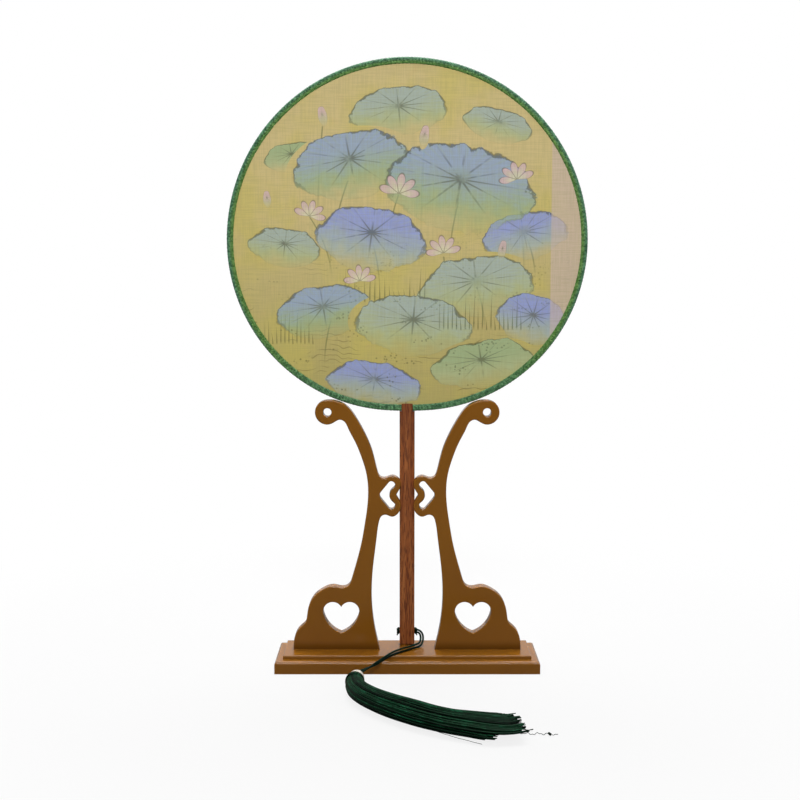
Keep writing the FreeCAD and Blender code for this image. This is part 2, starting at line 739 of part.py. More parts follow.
def make_cap():
    """The smooth wound cap: a domed cup with a hole for the cord's stub."""
    body = new_body("tassel_cap")
    profile = new_sketch(body, "cap_profile", "XZ_Plane")
    outer = size("cap_radius")
    inner = outer - size("cap_wall")
    hole = size("cord_radius") + size("cord_clearance")
    length = size("cap_length")
    outer_top = outer - math.sqrt(outer**2 - hole**2)
    inner_top = outer - math.sqrt(inner**2 - hole**2)
    slant = math.sqrt(0.5)
    corners = [Vector(hole, outer_top, 0), Vector(outer, outer, 0), Vector(outer, length, 0)]
    corners += [Vector(inner, length, 0), Vector(inner, outer, 0), Vector(hole, inner_top, 0)]
    dome_over = Vector(outer * slant, outer * (1 - slant), 0)
    dome_under = Vector(inner * slant, outer - inner * slant, 0)
    add_outline(
        profile,
        [
            Part.Arc(corners[0], dome_over, corners[1]),
            Part.LineSegment(corners[1], corners[2]),
            Part.LineSegment(corners[2], corners[3]),
            Part.LineSegment(corners[3], corners[4]),
            Part.Arc(corners[4], dome_under, corners[5]),
            Part.LineSegment(corners[5], corners[0]),
        ],
    )
    turned = body.newObject("PartDesign::Revolution", "cap_turned")
    turned.Profile = profile
    turned.ReferenceAxis = (profile, ["V_Axis"])
    turned.Angle = 360
    return along_tassel(body, size("bead_radius") + size("part_gap"))


def make_core():
    """The wound core inside the cap, with the stub of cord that runs back into the bead."""
    start = (Vector(*CORD_ROUTE[-1]) - BEAD_CENTRE).dot(TASSEL_AXIS) + size("part_gap")
    middle = "sizes.bead_radius + sizes.part_gap + sizes.cap_radius"
    inside = "sizes.cap_radius - sizes.cap_wall - sizes.part_gap"
    stub = doc.addObject("Part::Cylinder", "core_stub")
    bind(stub, Radius="sizes.cord_radius", Height=f"{middle} - ({start})", Placement__Base__z=str(start))
    dome = doc.addObject("Part::Sphere", "core_dome")
    dome.Angle2 = 0
    bind(dome, Radius=inside, Placement__Base__z=middle)
    drum = doc.addObject("Part::Cylinder", "core_drum")
    bind(
        drum,
        Radius=inside,
        Height="sizes.cap_length - sizes.cap_radius - sizes.part_gap",
        Placement__Base__z=middle,
    )
    core = doc.addObject("Part::MultiFuse", "tassel_core")
    core.Label = "tassel_core"
    core.Shapes = [stub, dome, drum]
    return along_tassel(core, 0)


def make_skirt():
    """The threads as one closed form: a round start at the cap, then ovals along their curve."""
    start = BEAD_CENTRE + TASSEL_AXIS * (size("bead_radius") + size("cap_length") + 2 * size("part_gap"))
    round_start = Part.Circle(start, TASSEL_AXIS, size("cap_radius") - size("part_gap"))
    sections = [Part.Wire(round_start.toShape())]
    route = [start] + [Vector(x, y, 0) for x, y, _, _ in SKIRT_ROUTE]
    stretch_width = size("skirt_width") / SKIRT_ROUTE[-1][2]
    stretch_height = size("skirt_height") / SKIRT_ROUTE[-1][3]
    for step, (x, y, width, height) in enumerate(SKIRT_ROUTE, start=1):
        along = route[min(step + 1, len(SKIRT_ROUTE))] - route[step - 1]
        across = Z_AXIS.cross(along).normalize()
        half_height = Z_AXIS * height * stretch_height / 2
        centre = Vector(x, y, size("floor_gap")) + half_height
        oval = Part.Ellipse(centre + across * width * stretch_width / 2, centre + half_height, centre)
        sections.append(Part.Wire(oval.toShape()))
    skirt = doc.addObject("Part::Feature", "tassel_skirt")
    skirt.Label = "tassel_skirt"
    skirt.Shape = Part.makeLoft(sections, True, False)
    return skirt


# ---------------------------------------------------------------- build, check, write
PIECES = [
    make_base(),
    make_upright("upright_left", -1),
    make_upright("upright_right", 1),
    make_screws("screws_left", -1),
    make_screws("screws_right", 1),
    make_handle(),
    make_hoop(),
    make_silk("silk_front", 1),
    make_silk("silk_back", -1),
    make_braid(),
    make_knot("cord_knot_left", -1),
    make_knot("cord_knot_right", 1),
    make_cord(),
    make_bead(),
    make_core(),
    make_cap(),
    make_skirt(),
]
doc.recompute()

for thing in doc.Objects:
    faults = {"Invalid", "Error"} & set(thing.State)
    if faults:
        raise RuntimeError(f"{thing.Name}: {faults}")
for piece in PIECES:
    if piece.Shape.isNull() or not piece.Shape.isValid():
        raise RuntimeError(f"{piece.Label}: bad shape")

os.makedirs("parts", exist_ok=True)
for piece in PIECES:
    piece.Shape.exportStep(f"parts/{piece.Label}.step")
    box = piece.Shape.optimalBoundingBox(False)
    print(
        f"{piece.Label}: {len(piece.Shape.Solids)} solid, {piece.Shape.Volume:.0f} mm3,"
        f" x {box.XMin:.1f}..{box.XMax:.1f} y {box.YMin:.1f}..{box.YMax:.1f} z {box.ZMin:.2f}..{box.ZMax:.2f}"
    )
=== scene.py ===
import math
import random

import bpy
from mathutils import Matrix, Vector, noise


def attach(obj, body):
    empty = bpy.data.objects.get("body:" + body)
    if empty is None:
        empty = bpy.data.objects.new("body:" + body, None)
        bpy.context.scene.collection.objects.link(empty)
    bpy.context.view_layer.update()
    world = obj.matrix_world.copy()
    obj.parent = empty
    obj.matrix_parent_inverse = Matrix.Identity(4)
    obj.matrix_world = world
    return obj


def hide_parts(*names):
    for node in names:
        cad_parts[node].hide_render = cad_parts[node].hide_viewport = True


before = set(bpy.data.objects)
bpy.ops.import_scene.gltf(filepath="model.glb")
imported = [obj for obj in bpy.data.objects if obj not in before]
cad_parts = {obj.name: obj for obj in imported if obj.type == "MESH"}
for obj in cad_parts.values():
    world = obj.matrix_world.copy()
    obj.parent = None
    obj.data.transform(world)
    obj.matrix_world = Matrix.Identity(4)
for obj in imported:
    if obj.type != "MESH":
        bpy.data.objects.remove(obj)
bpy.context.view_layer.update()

# Round silk palace fan with a tassel on its display stand. Metres, +X right, +Y back, +Z up.
MM = 0.001
UP = Vector((0, 0, 1))
SEED = 7
random.seed(SEED)
noise.seed_set(SEED)  # without it the threads' noise would follow the clock

# ---------------------------------------------------------------- camera
CAMERA_PLACE = (-0.0052, -0.893, 0.2842)
CAMERA_PITCH = math.radians(5.67)
CAMERA_LENS = 55.87


def make_camera():
    camera = bpy.data.objects.new("camera", bpy.data.cameras.new("camera"))
    camera.data.sensor_width = 36
    camera.data.lens = CAMERA_LENS
    camera.location = CAMERA_PLACE
    camera.rotation_euler = (math.pi / 2 - CAMERA_PITCH, 0, 0)
    bpy.context.scene.collection.objects.link(camera)
    bpy.context.scene.camera = camera


# ---------------------------------------------------------------- where the fan stands
# Millimetres in the fan's own frame: x right, d to the back, u up the handle from its foot.
FOOT_DEPTH = 10.4
FOOT_HEIGHT = 12.1
LEAN = math.atan(2.6 / 128.0)  # the handle comes 2.6 mm forward over the 128 mm up to the lobes
RIM_TOP_RADIUS = 129.5
RIM_SHIFT = 7.5
RIM_FOOT_RADIUS = 250.0
RIM_FOOT = 174.8
BRAID_WIDTH = 5.2
BRAID_DEPTH = 4.4
RIM_SIDE_RADIUS = RIM_TOP_RADIUS - RIM_SHIFT
RIM_DROP = math.sqrt((RIM_FOOT_RADIUS - RIM_SIDE_RADIUS) ** 2 - RIM_SHIFT**2)
RIM_MIDDLE = RIM_FOOT + RIM_FOOT_RADIUS - RIM_DROP


def from_fan(x, d, u):
    """A point of the fan's own frame as a place in the model, in metres."""
    y = FOOT_DEPTH + d * math.cos(LEAN) - u * math.sin(LEAN)
    z = FOOT_HEIGHT + d * math.sin(LEAN) + u * math.cos(LEAN)
    return Vector((x, y, z)) * MM


def rim_point(share, inset):
    """Point and outward direction, (x, u), of the rim's oval at a share of the way round from its foot."""
    turn = math.atan2(RIM_DROP, RIM_SHIFT)
    foot = (0, RIM_FOOT + RIM_FOOT_RADIUS, RIM_FOOT_RADIUS)
    arcs = [
        (*foot, 1.5 * math.pi, 2 * math.pi - turn),
        (RIM_SHIFT, RIM_MIDDLE, RIM_SIDE_RADIUS, 2 * math.pi - turn, 2 * math.pi),
        (0, RIM_MIDDLE, RIM_TOP_RADIUS, 0, math.pi),
        (-RIM_SHIFT, RIM_MIDDLE, RIM_SIDE_RADIUS, math.pi, math.pi + turn),
        (*foot, math.pi + turn, 1.5 * math.pi),
    ]
    lengths = [radius * (end - start) for _, _, radius, start, end in arcs]
    left = (share % 1.0) * sum(lengths)
    for (x, u, radius, start, end), length in zip(arcs, lengths):
        if left <= length:
            break
        left -= length
    angle = start + (end - start) * min(left / length, 1.0)
    out = Vector((math.cos(angle), math.sin(angle)))
    return Vector((x, u)) + out * (radius - inset), out


# ---------------------------------------------------------------- mesh helpers
LINE_STEPS = 12


def new_mesh(name, points, faces, body, material):
    """A smooth piece that rides on a body of the frame."""
    mesh = bpy.data.meshes.new(name)
    mesh.from_pydata([tuple(point) for point in points], [], faces)
    mesh.update()
    mesh.shade_smooth()
    piece = bpy.data.objects.new(name, mesh)
    bpy.context.scene.collection.objects.link(piece)
    piece.data.materials.append(material)
    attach(piece, body)
    return piece


def shade_points(piece, shades):
    """Stores a shade at each point, from 0 for the darkest thread to 1 for the palest."""
    piece.data.attributes.new("thread_shade", "FLOAT", "POINT").data.foreach_set("value", shades)


def add_tube(points, faces, rings, closed=False):
    """Joins rings of points, all of one count, into a tube; an open one gets flat ends."""
    first = len(points)
    count = len(rings[0])
    for ring in rings:
        points.extend(ring)
    spans = len(rings) if closed else len(rings) - 1
    for step in range(spans):
        here = first + step * count
        after = first + ((step + 1) % len(rings)) * count
        for side in range(count):
            beside = (side + 1) % count
            faces.append((here + side, here + beside, after + beside, after + side))
    if not closed:
        faces.append(tuple(range(first + count - 1, first - 1, -1)))
        last = first + (len(rings) - 1) * count
        faces.append(tuple(range(last, last + count)))


def directions(line):
    """The direction of travel at each point of a line."""
    ends = [line[0], *line, line[-1]]
    return [(after - before).normalized() for before, after in zip(ends, ends[2:])]


def frames_along(line, first_side):
    """Direction, side and upward vectors that turn as little as they can along a line."""
    frames = []
    side = first_side
    for along in directions(line):
        side = (side - along * side.dot(along)).normalized()
        frames.append((along, side, side.cross(along)))
    return frames


def rings_round(line, radii, sides, first_side):
    """Round rings of points about a line."""
    rings = []
    for place, radius, (_, side, up) in zip(line, radii, frames_along(line, first_side)):
        turns = [2 * math.pi * step / sides for step in range(sides)]
        rings.append([place + (side * math.cos(turn) + up * math.sin(turn)) * radius for turn in turns])
    return rings


def smooth_line(name, route):
    """Points along a smooth curve whose control points are the route's, in metres."""
    curve = bpy.data.curves.new(name, "CURVE")
    curve.dimensions = "3D"
    curve.resolution_u = LINE_STEPS
    spline = curve.splines.new("NURBS")
    spline.points.add(len(route) - 1)
    for point, place in zip(spline.points, route):
        point.co = (*place, 1)
    spline.order_u = 3
    spline.use_endpoint_u = True
    return as_points(name, curve)


def as_points(name, curve):
    """The points along a curve, which is then put away."""
    holder = bpy.data.objects.new(name, curve)
    mesh = bpy.data.meshes.new_from_object(holder)
    line = [vertex.co.copy() for vertex in mesh.vertices]
    bpy.data.objects.remove(holder)
    bpy.data.curves.remove(curve)
    bpy.data.meshes.remove(mesh)
    return line


def line_through(name, route):
    """Points along a smooth curve that passes through the route's points, in metres."""
    curve = bpy.data.curves.new(name, "CURVE")
    curve.dimensions = "3D"
    spline = curve.splines.new("BEZIER")
    spline.bezier_points.add(len(route) - 1)
    for point, place in zip(spline.bezier_points, route):
        point.co = place
        point.handle_left_type = "AUTO"
        point.handle_right_type = "AUTO"
    return as_points(name, curve)


def evenly(line, count, values=None):
    """The same line as count evenly spaced points, or the values that belong to its points there."""
    values = values or line
    lengths = [0.0]
    for here, after in zip(line, line[1:]):
        lengths.append(lengths[-1] + (after - here).length)
    spaced = []
    step = 0
    for number in range(count):
        wanted = lengths[-1] * number / (count - 1)
        while step < len(line) - 2 and lengths[step + 1] < wanted:
            step += 1
        span = lengths[step + 1] - lengths[step]
        spaced.append(values[step].lerp(values[step + 1], (wanted - lengths[step]) / span))
    return spaced


# ---------------------------------------------------------------- material helpers
def colour(hex_code):
    """An sRGB hex value as a linear colour."""
    channels = [int(hex_code[start : start + 2], 16) / 255 for start in (0, 2, 4)]
    linear = [c / 12.92 if c <= 0.04045 else ((c + 0.055) / 1.055) ** 2.4 for c in channels]
    return (*linear, 1)


def add(tree, kind, *feeds, **settings):
    """Adds a node with its settings. Its inputs take values, sockets or nodes, in order or by name."""
    made = tree.nodes.new(kind if kind.startswith("NodeGroup") else "ShaderNode" + kind)
    for name, value in settings.items():
        setattr(made, name, value)
    if feeds and isinstance(feeds[0], dict):
        filled = [(made.inputs[name], value) for name, value in feeds[0].items()]
    else:
        filled = zip([socket for socket in made.inputs if socket.enabled], feeds)
    for socket, value in filled:
        if isinstance(value, bpy.types.Node):
            value = next(output for output in value.outputs if output.enabled)
        if isinstance(value, bpy.types.NodeSocket):
            tree.links.new(value, socket)
        else:
            socket.default_value = value
    return made


# settings that many nodes share: a range that eases in and out, and a mix of two colours
SOFTLY = {"interpolation_type": "SMOOTHSTEP"}
COLOURS = {"data_type": "RGBA"}


def new_material(name):
    """A material with an empty node tree, and that tree."""
    material = bpy.data.materials.new(name)
    material.use_nodes = True
    material.node_tree.nodes.clear()
    return material, material.node_tree


def finish_material(material, feeds):
    """Gives a material its surface, from values and links by name, and returns it."""
    tree = material.node_tree
    add(tree, "OutputMaterial", {"Surface": add(tree, "BsdfPrincipled", feeds)})
    return material


def model_place(tree):
    """The point's place in the model in millimetres, as a vector and as x, y and z."""
    spot = add(tree, "TexCoord").outputs["Object"]
    scaled = add(tree, "VectorMath", spot, (1 / MM,) * 3, operation="MULTIPLY")
    return scaled, add(tree, "SeparateXYZ", scaled).outputs


def grain(tree, place, spacing_mm, stretch=(1, 1, 1), detail=3.0, roughness=0.55):
    """Noise from 0 to 1 whose features are about spacing_mm apart, before the stretch."""
    scaled = add(tree, "VectorMath", place, stretch, operation="MULTIPLY")
    feeds = {"Vector": scaled, "Scale": 1 / spacing_mm, "Detail": detail, "Roughness": roughness}
    return add(tree, "TexNoise", feeds)


# ---------------------------------------------------------------- materials
def sprayed_lacquer():
    """Ochre lacquer sprayed over wood: an even brown coat with a clear gloss, with painted highlights on
    its edges and painted shade where the feet stand on the base.
    """
    material, tree = new_material("sprayed_lacquer_on_wood")
    place, (_, _, z) = model_place(tree)
    cloud = grain(tree, place, 40.0)
    coat = add(tree, "Mix", cloud, colour("784A12"), colour("865616"), **COLOURS)
    # painted highlight: the coat is painted paler within about a millimetre of the rounded edges, where
    # they catch the light
    rounded = add(tree, "Bevel", {"Radius": 1.1 * MM}, samples=4)
    face = add(tree, "NewGeometry").outputs["True Normal"]
    level = add(tree, "VectorMath", rounded, face, operation="DOT_PRODUCT")
    painted_edge_highlight = add(tree, "MapRange", level, 0.99, 0.8, 0.0, 0.55, **SOFTLY)
    coat = add(tree, "Mix", painted_edge_highlight, coat, colour("B88038"), **COLOURS)
    # painted shade: the coat is painted dark in the corner where the feet stand on the base, 12 mm up
    above = add(tree, "MapRange", z, 12.05, 12.2, **SOFTLY)
    below = add(tree, "MapRange", z, 20.0, 12.2, 0.0, 0.6, **SOFTLY)
    painted_corner_shade = add(tree, "Math", above, below, operation="MULTIPLY")
    coat = add(tree, "Mix", painted_corner_shade, coat, colour("3C2408"), **COLOURS)
    fine = grain(tree, place, 0.9, detail=2.0)
    peel = grain(tree, place, 2.2, detail=1.0)
    grit = add(tree, "Bump", {"Height": fine, "Distance": 0.012 * MM, "Strength": 0.3})
    feeds = {"Height": peel, "Distance": 0.05 * MM, "Strength": 0.3, "Normal": grit}
    normal = add(tree, "Bump", feeds)
    return finish_material(material, {
        "Base Color": coat,
        "Roughness": add(tree, "MapRange", cloud, 0.3, 0.7, 0.14, 0.2, **SOFTLY),
        "IOR": 1.5,
        "Specular IOR Level": 0.26,
        "Normal": normal,
    })


def varnished_handle():
    """Red-brown stained wood, planed and varnished: long straight grain, darker in its pores."""
    material, tree = new_material("stained_varnished_wood")
    place, (_, _, z) = model_place(tree)
    # pores about 0.6 mm wide and 8 mm long
    pores = grain(tree, place, 0.6, stretch=(1, 1, 0.075), detail=4.0)
    bands = grain(tree, place, 2.4, stretch=(1, 1, 0.02), detail=2.0)
    banded = add(tree, "MapRange", bands, 0.3, 0.7, **SOFTLY)
    wood = add(tree, "Mix", banded, colour("84431B"), colour("A46232"), **COLOURS)
    open_pores = add(tree, "MapRange", pores, 0.47, 0.62, 0.0, 0.8, **SOFTLY)
    wood = add(tree, "Mix", open_pores, wood, colour("4E230E"), **COLOURS)
    # darker towards the rim and the foot
    near_rim = add(tree, "MapRange", z, 145.0, 195.0, 0.0, 0.5, **SOFTLY)
    near_foot = add(tree, "MapRange", z, 45.0, 15.0, 0.0, 0.25, **SOFTLY)
    ends = add(tree, "Math", near_rim, near_foot, operation="MAXIMUM")
    wood = add(tree, "Mix", ends, wood, colour("5C2A10"), **COLOURS)
    return finish_material(material, {
        "Base Color": wood,
        "Roughness": add(tree, "MapRange", pores, 0.3, 0.7, 0.38, 0.52, **SOFTLY),
        "IOR": 1.5,
        "Specular IOR Level": 0.3,
        "Normal": add(tree, "Bump", {"Height": pores, "Distance": 0.06 * MM, "Strength": 0.5}),
    })


def split_bamboo():
    """Bare split bamboo: pale straw, with fibres about 0.6 mm apart."""
    material, tree = new_material("split_bamboo")
    place, _ = model_place(tree)
    fibres = grain(tree, place, 0.6, detail=3.0)
    straw = add(tree, "Mix", fibres, colour("B8935A"), colour("D9BC84"), **COLOURS)
    return finish_material(material, {
        "Base Color": straw,
        "Roughness": 0.55,
        "Normal": add(tree, "Bump", {"Height": fibres, "Distance": 0.05 * MM, "Strength": 0.5}),
    })


def braided_rayon():
    """Green rayon binding: flat braided yarns with a soft lustre, bluer round its outside and foot."""
    material, tree = new_material("braided_rayon_binding")
    place, (_, _, z) = model_place(tree)
    flecks = grain(tree, place, 1.8, detail=3.0)
    filaments = grain(tree, place, 0.3, detail=2.0)
    radius, _, _ = away_from(tree, place, DISC_MIDDLE)
    # the binding is 5 mm wide, and its outer edge 129.5 mm from the disc's middle, less at the foot
    outer = add(tree, "MapRange", radius, 125.6, 128.6, **SOFTLY)
    foot = add(tree, "MapRange", z, 240, 200, 0.0, 0.7, **SOFTLY)
    outer = add(tree, "Math", outer, foot, operation="MAXIMUM")
    dark = add(tree, "Mix", outer, colour("3E6A26"), colour("2C5640"), **COLOURS)
    lit = add(tree, "Mix", outer, colour("6A9448"), colour("5A8E68"), **COLOURS)
    flecked = add(tree, "MapRange", flecks, 0.35, 0.65, **SOFTLY)
    yarn = add(tree, "Mix", flecked, dark, lit, **COLOURS)
    glints = add(tree, "MapRange", filaments, 0.52, 0.75, 0.0, 0.45, **SOFTLY)
    yarn = add(tree, "Mix", glints, yarn, colour("82A090"), **COLOURS)
    return finish_material(material, {
        "Base Color": yarn,
        "Roughness": 0.6,
        "Specular IOR Level": 0.25,
        "Normal": add(tree, "Bump", {"Height": filaments, "Distance": 0.05 * MM, "Strength": 0.6}),
    })


def tassel_rayon(name, dark, lit, glint):
    """Deep green rayon thread: painted near black inside the bundle as shade, each lock and thread its own
    shade, with painted satin glints.
    """
    material, tree = new_material(name)
    place, _ = model_place(tree)
    # the stored shade is each lock's own tone, painted darker on the skirt's inner threads as shade
    lock = add(tree, "Attribute", attribute_name="thread_shade").outputs["Fac"]
    single = add(tree, "NewGeometry").outputs["Random Per Island"]
    lock = add(tree, "Math", lock, 0.6, operation="MULTIPLY")
    single = add(tree, "Math", single, 0.4, operation="MULTIPLY")
    each = add(tree, "Math", lock, single, operation="ADD")
    streaks = grain(tree, place, 9.0, detail=3.0)
    fibre = grain(tree, place, 0.3, detail=2.0)
    streaked = add(tree, "MapRange", streaks, 0.3, 0.7, 0.6, 1.0, **SOFTLY)
    paler = add(tree, "MapRange", each, 0.2, 0.8, **SOFTLY)
    shade = add(tree, "Math", streaked, paler, operation="MULTIPLY")
    thread = add(tree, "Mix", shade, colour(dark), colour(lit), **COLOURS)
    satin = add(tree, "MapRange", streaks, 0.45, 0.65, **SOFTLY)
    palest = add(tree, "MapRange", each, 0.6, 0.9, 0.0, 0.8, **SOFTLY)
    shine = add(tree, "Math", satin, palest, operation="MULTIPLY")
    thread = add(tree, "Mix", shine, thread, colour(glint), **COLOURS)
    return finish_material(material, {
        "Base Color": thread,
        "Roughness": 0.45,
        "Specular IOR Level": 0.07,
        "Normal": add(tree, "Bump", {"Height": fibre, "Distance": 0.05 * MM, "Strength": 0.4}),
    })


def pale_glaze():
    """A pale glazed bead: cream with faint clouds under a clear gloss."""
    material, tree = new_material("pale_glazed_bead")
    place, _ = model_place(tree)
    cloud = grain(tree, place, 3.0)
    glaze = add(tree, "Mix", cloud, colour("CFC6B6"), colour("E2DCD2"), **COLOURS)
    return finish_material(material, {
        "Base Color": glaze,
        "Roughness": 0.2,
        "IOR": 1.5,
        "Normal": add(tree, "Bump", {"Height": cloud, "Distance": 0.03 * MM, "Strength": 0.3}),
    })


def zinc_plate():
    """Zinc-plated steel screws: grey metal with slight mottling."""
    material, tree = new_material("zinc_plated_steel")
    place, _ = model_place(tree)
    mottle = grain(tree, place, 0.8)
    metal = add(tree, "Mix", mottle, colour("9A9C9A"), colour("C4C6C2"), **COLOURS)
    return finish_material(material, {
        "Base Color": metal,
        "Metallic": 1.0,
        "Roughness": add(tree, "MapRange", mottle, 0.3, 0.7, 0.25, 0.4, **SOFTLY),
    })


# ---------------------------------------------------------------- the silk's print
DISC_MIDDLE = from_fan(0, 0, RIM_MIDDLE) / MM
INK = colour("3A3A22")
WATER_BLUE = colour("94A8C4")
DUSK_BLUE = colour("8E9CD4")
MIST_BLUE = colour("A4B4AE")
LEAF_GREEN = colour("9DB286")
POND_GREEN = colour("AFB98A")
PETAL_PINK = colour("D3B4B4")
PETAL_CREAM = colour("C2BE98")
PETAL_HEART = colour("D8D2B0")
HEART_GREEN = colour("6E8474")
STEM_GREEN = colour("5F6B42")
REED_GREEN = colour("4A5232")
WEED_GREEN = colour("4C5030")
# colour of the painted highlight down the silk's right side
HIGHLIGHT_PINK = colour("CDB8AE")
# the washes of a leaf or bud: its crown's colour and its hem's
WASHES = {
    "water": (WATER_BLUE, LEAF_GREEN),
    "dusk": (DUSK_BLUE, MIST_BLUE),
    "mist": (MIST_BLUE, POND_GREEN),
    "green": (LEAF_GREEN, POND_GREEN),
    "bud": (PETAL_PINK, PETAL_CREAM),
}
# leaf or bud: across, up, half width, half height in mm from the disc's middle, tilt in degrees, wash
FAR_LEAVES = [
    (-6, 92, 35, 17, 6, "mist"),
    (64, 82, 25, 12, -14, "mist"),
    (-82, 60, 20, 10, 10, "green"),
    (-40, 54, 42, 24, 11, "water"),
    (-88, -4, 26, 14, -8, "mist"),
    (84, 4, 31, 17, 12, "dusk"),
    (50, -32, 41, 22, 7, "mist"),
    (-60, 88, 3.2, 7, 12, "bud"),
    (-100, 30, 2.8, 6, 6, "bud"),
]
NEAR_LEAVES = [
    (37, 38, 54, 31, -9, "water"),
    (-26, 2, 40, 23, -8, "dusk"),
    (-60, -50, 35, 19, 9, "water"),
    (90, -56, 26, 18, -15, "dusk"),
    (4, -60, 42, 22, -5, "mist"),
    (54, -88, 37, 17, 9, "green"),
    (-24, -102, 34, 16, -8, "dusk"),
    (12, 74, 3.4, 8, -8, "bud"),
    (68, -6, 3.0, 7, -10, "bud"),
]
# flower: across, up, reach across and up in mm, tilt in degrees
FLOWERS = [
    (-6, 34, 15, 15, -10, "bud"),
    (78, 44, 13, 13, 14, "bud"),
    (-70, 18, 12, 12, -16, "bud"),
    (26, -8, 13, 13, 8, "bud"),
    (-34, -28, 12, 12, 6, "bud"),
]
# stem: foot across and up, bend and length in mm
STEMS = [
    (-56, -30, 14, 74),
    (30, -20, 9, 56),
    (-20, -34, -5, 34),
    (-14, -10, 8, 44),
    (-54, -30, -16, 48),
    (84, -34, -6, 78),
    (10, 6, 2, 60),
    (-64, 8, 4, 74),
    (92, -28, -7, 32),
    (30, -60, -4, 50),
    (56, -66, -6, 34),
    (-60, -92, 5, 36),
]
# reeds: spacing, foot's height, tallest blade, left and right end, in mm
MIDDLE_REEDS = (3.6, -44.0, 26.0, -46.0, 14.0)
RIGHT_REEDS = (3.1, -64.0, 30.0, 22.0, 84.0)
LEFT_REEDS = (2.9, -74.0, 24.0, -104.0, -66.0)
RIPPLE_SPACING = 4.0
WEED_SPACING = 2.6
# where the painted highlight down the silk's right side begins, in mm
HIGHLIGHT_EDGE = 103.0
FULL_REACH = 1.12
# a leaf's heart in its own frame, its scallops, streaks and veins all round, and a flower's petals
LEAF_HEART = (0, 0, 0.2)
LEAF_SCALLOPS = 5.0
LEAF_STREAKS = 36.0
LEAF_VEINS = 12.0
PETAL_TURNS = 4.5


def new_group(name, numbers=(), vectors=(), results=()):
    """An empty node group with its inputs, and outputs given by name and kind of socket."""
    tree = bpy.data.node_groups.new(name, "ShaderNodeTree")
    for kind, names in (("NodeSocketFloat", numbers), ("NodeSocketVector", vectors)):
        for socket in names:
            tree.interface.new_socket(socket, in_out="INPUT", socket_type=kind)
    for socket, kind in results:
        tree.interface.new_socket(socket, in_out="OUTPUT", socket_type=kind)
    return tree, add(tree, "NodeGroupInput").outputs


def thin_line(tree, distance, half_width):
    """1 on a line, 0 beyond its half width."""
    return add(tree, "MapRange", distance, half_width, half_width * 0.4, **SOFTLY)


def away_from(tree, place, middle):
    """The distance from a middle, the turn about it from straight up, and the height over it."""
    apart = add(tree, "VectorMath", place, middle, operation="SUBTRACT")
    across, _, up = add(tree, "SeparateXYZ", apart).outputs
    reach = add(tree, "VectorMath", apart, operation="LENGTH")
    return reach, add(tree, "Math", across, up, operation="ARCTAN2"), up


def foremost_group():
    """Passes on the point's place in a shape's own frame where that shape covers it."""
    vectors = ("Place", "Middle", "Tilt", "Size", "Behind")
    results = (("Local", "NodeSocketVector"), ("Wash", "NodeSocketFloat"))
    tree, given = new_group("foremost_shape", ("Wash", "Wash Behind"), vectors, results)
    # in its own frame a shape reaches to 1, and its ragged brim up to FULL_REACH
    own = {"Location": given["Middle"], "Rotation": given["Tilt"], "Scale": given["Size"]}
    local = add(tree, "Mapping", {"Vector": given["Place"], **own}, vector_type="TEXTURE")
    reach = add(tree, "VectorMath", local, operation="LENGTH")
    inside = add(tree, "Math", reach, FULL_REACH, operation="LESS_THAN")
    chosen = add(tree, "Mix", inside, given["Behind"], local, data_type="VECTOR")
    wash = add(tree, "Mix", inside, given["Wash Behind"], given["Wash"])
    add(tree, "NodeGroupOutput", {"Local": chosen, "Wash": wash})
    return tree


def stem_group():
    """How strongly a bent stem marks a point, or what marked it before, whichever is more."""
    tree, given = new_group(
        "stem", ("Bend", "Length", "Before"), ("Place", "Foot"), (("Mark", "NodeSocketFloat"),)
    )
    local = add(tree, "VectorMath", given["Place"], given["Foot"], operation="SUBTRACT")
    across, _, up = add(tree, "SeparateXYZ", local).outputs
    share = add(tree, "Math", up, given["Length"], operation="DIVIDE")
    squared = add(tree, "Math", share, share, operation="MULTIPLY")
    bend = add(tree, "Math", squared, given["Bend"], operation="MULTIPLY")
    distance = add(tree, "Math", across, bend, operation="SUBTRACT")
    distance = add(tree, "Math", distance, operation="ABSOLUTE")
    line = thin_line(tree, distance, 0.75)
    below_top = add(tree, "MapRange", share, 1.0, 0.98, **SOFTLY)
    line = add(tree, "Math", line, below_top, operation="MULTIPLY")
    risen = add(tree, "MapRange", share, 0.0, 0.6, 0.0, 0.6, **SOFTLY)
    line = add(tree, "Math", line, risen, operation="MULTIPLY")
    mark = add(tree, "Math", line, given["Before"], operation="MAXIMUM")
    add(tree, "NodeGroupOutput", {"Mark": mark})
    return tree


def foremost(tree, group, place, shapes):
    """The place in the frame of the foremost shape that covers the point, and that shape's wash."""
    local = (9.0, 0.0, 9.0)
    wash = 0.0
    for across, up, wide, high, tilt, name in shapes:
        feeds = {
            "Place": place,
            "Middle": (across, 0, up),
            "Tilt": (0, math.radians(-tilt), 0),
            "Size": (wide, 1, high),
            "Behind": local,
            "Wash Behind": wash,
            "Wash": (list(WASHES).index(name) + 0.5) / len(WASHES),
        }
        local, wash = add(tree, "Group", feeds, node_tree=group).outputs
    return local, wash


def wash_colour(tree, wash, which):
    """The crown's (0) or the hem's (1) colour of a wash."""
    picked = add(tree, "ValToRGB", wash)
    stops = picked.color_ramp
    stops.interpolation = "CONSTANT"
    while len(stops.elements) < len(WASHES):
        stops.elements.new(1.0)
    for number, (stop, shades) in enumerate(zip(stops.elements, WASHES.values())):
        stop.position = number / len(WASHES)
        stop.color = shades[which]
    return picked.outputs[0]


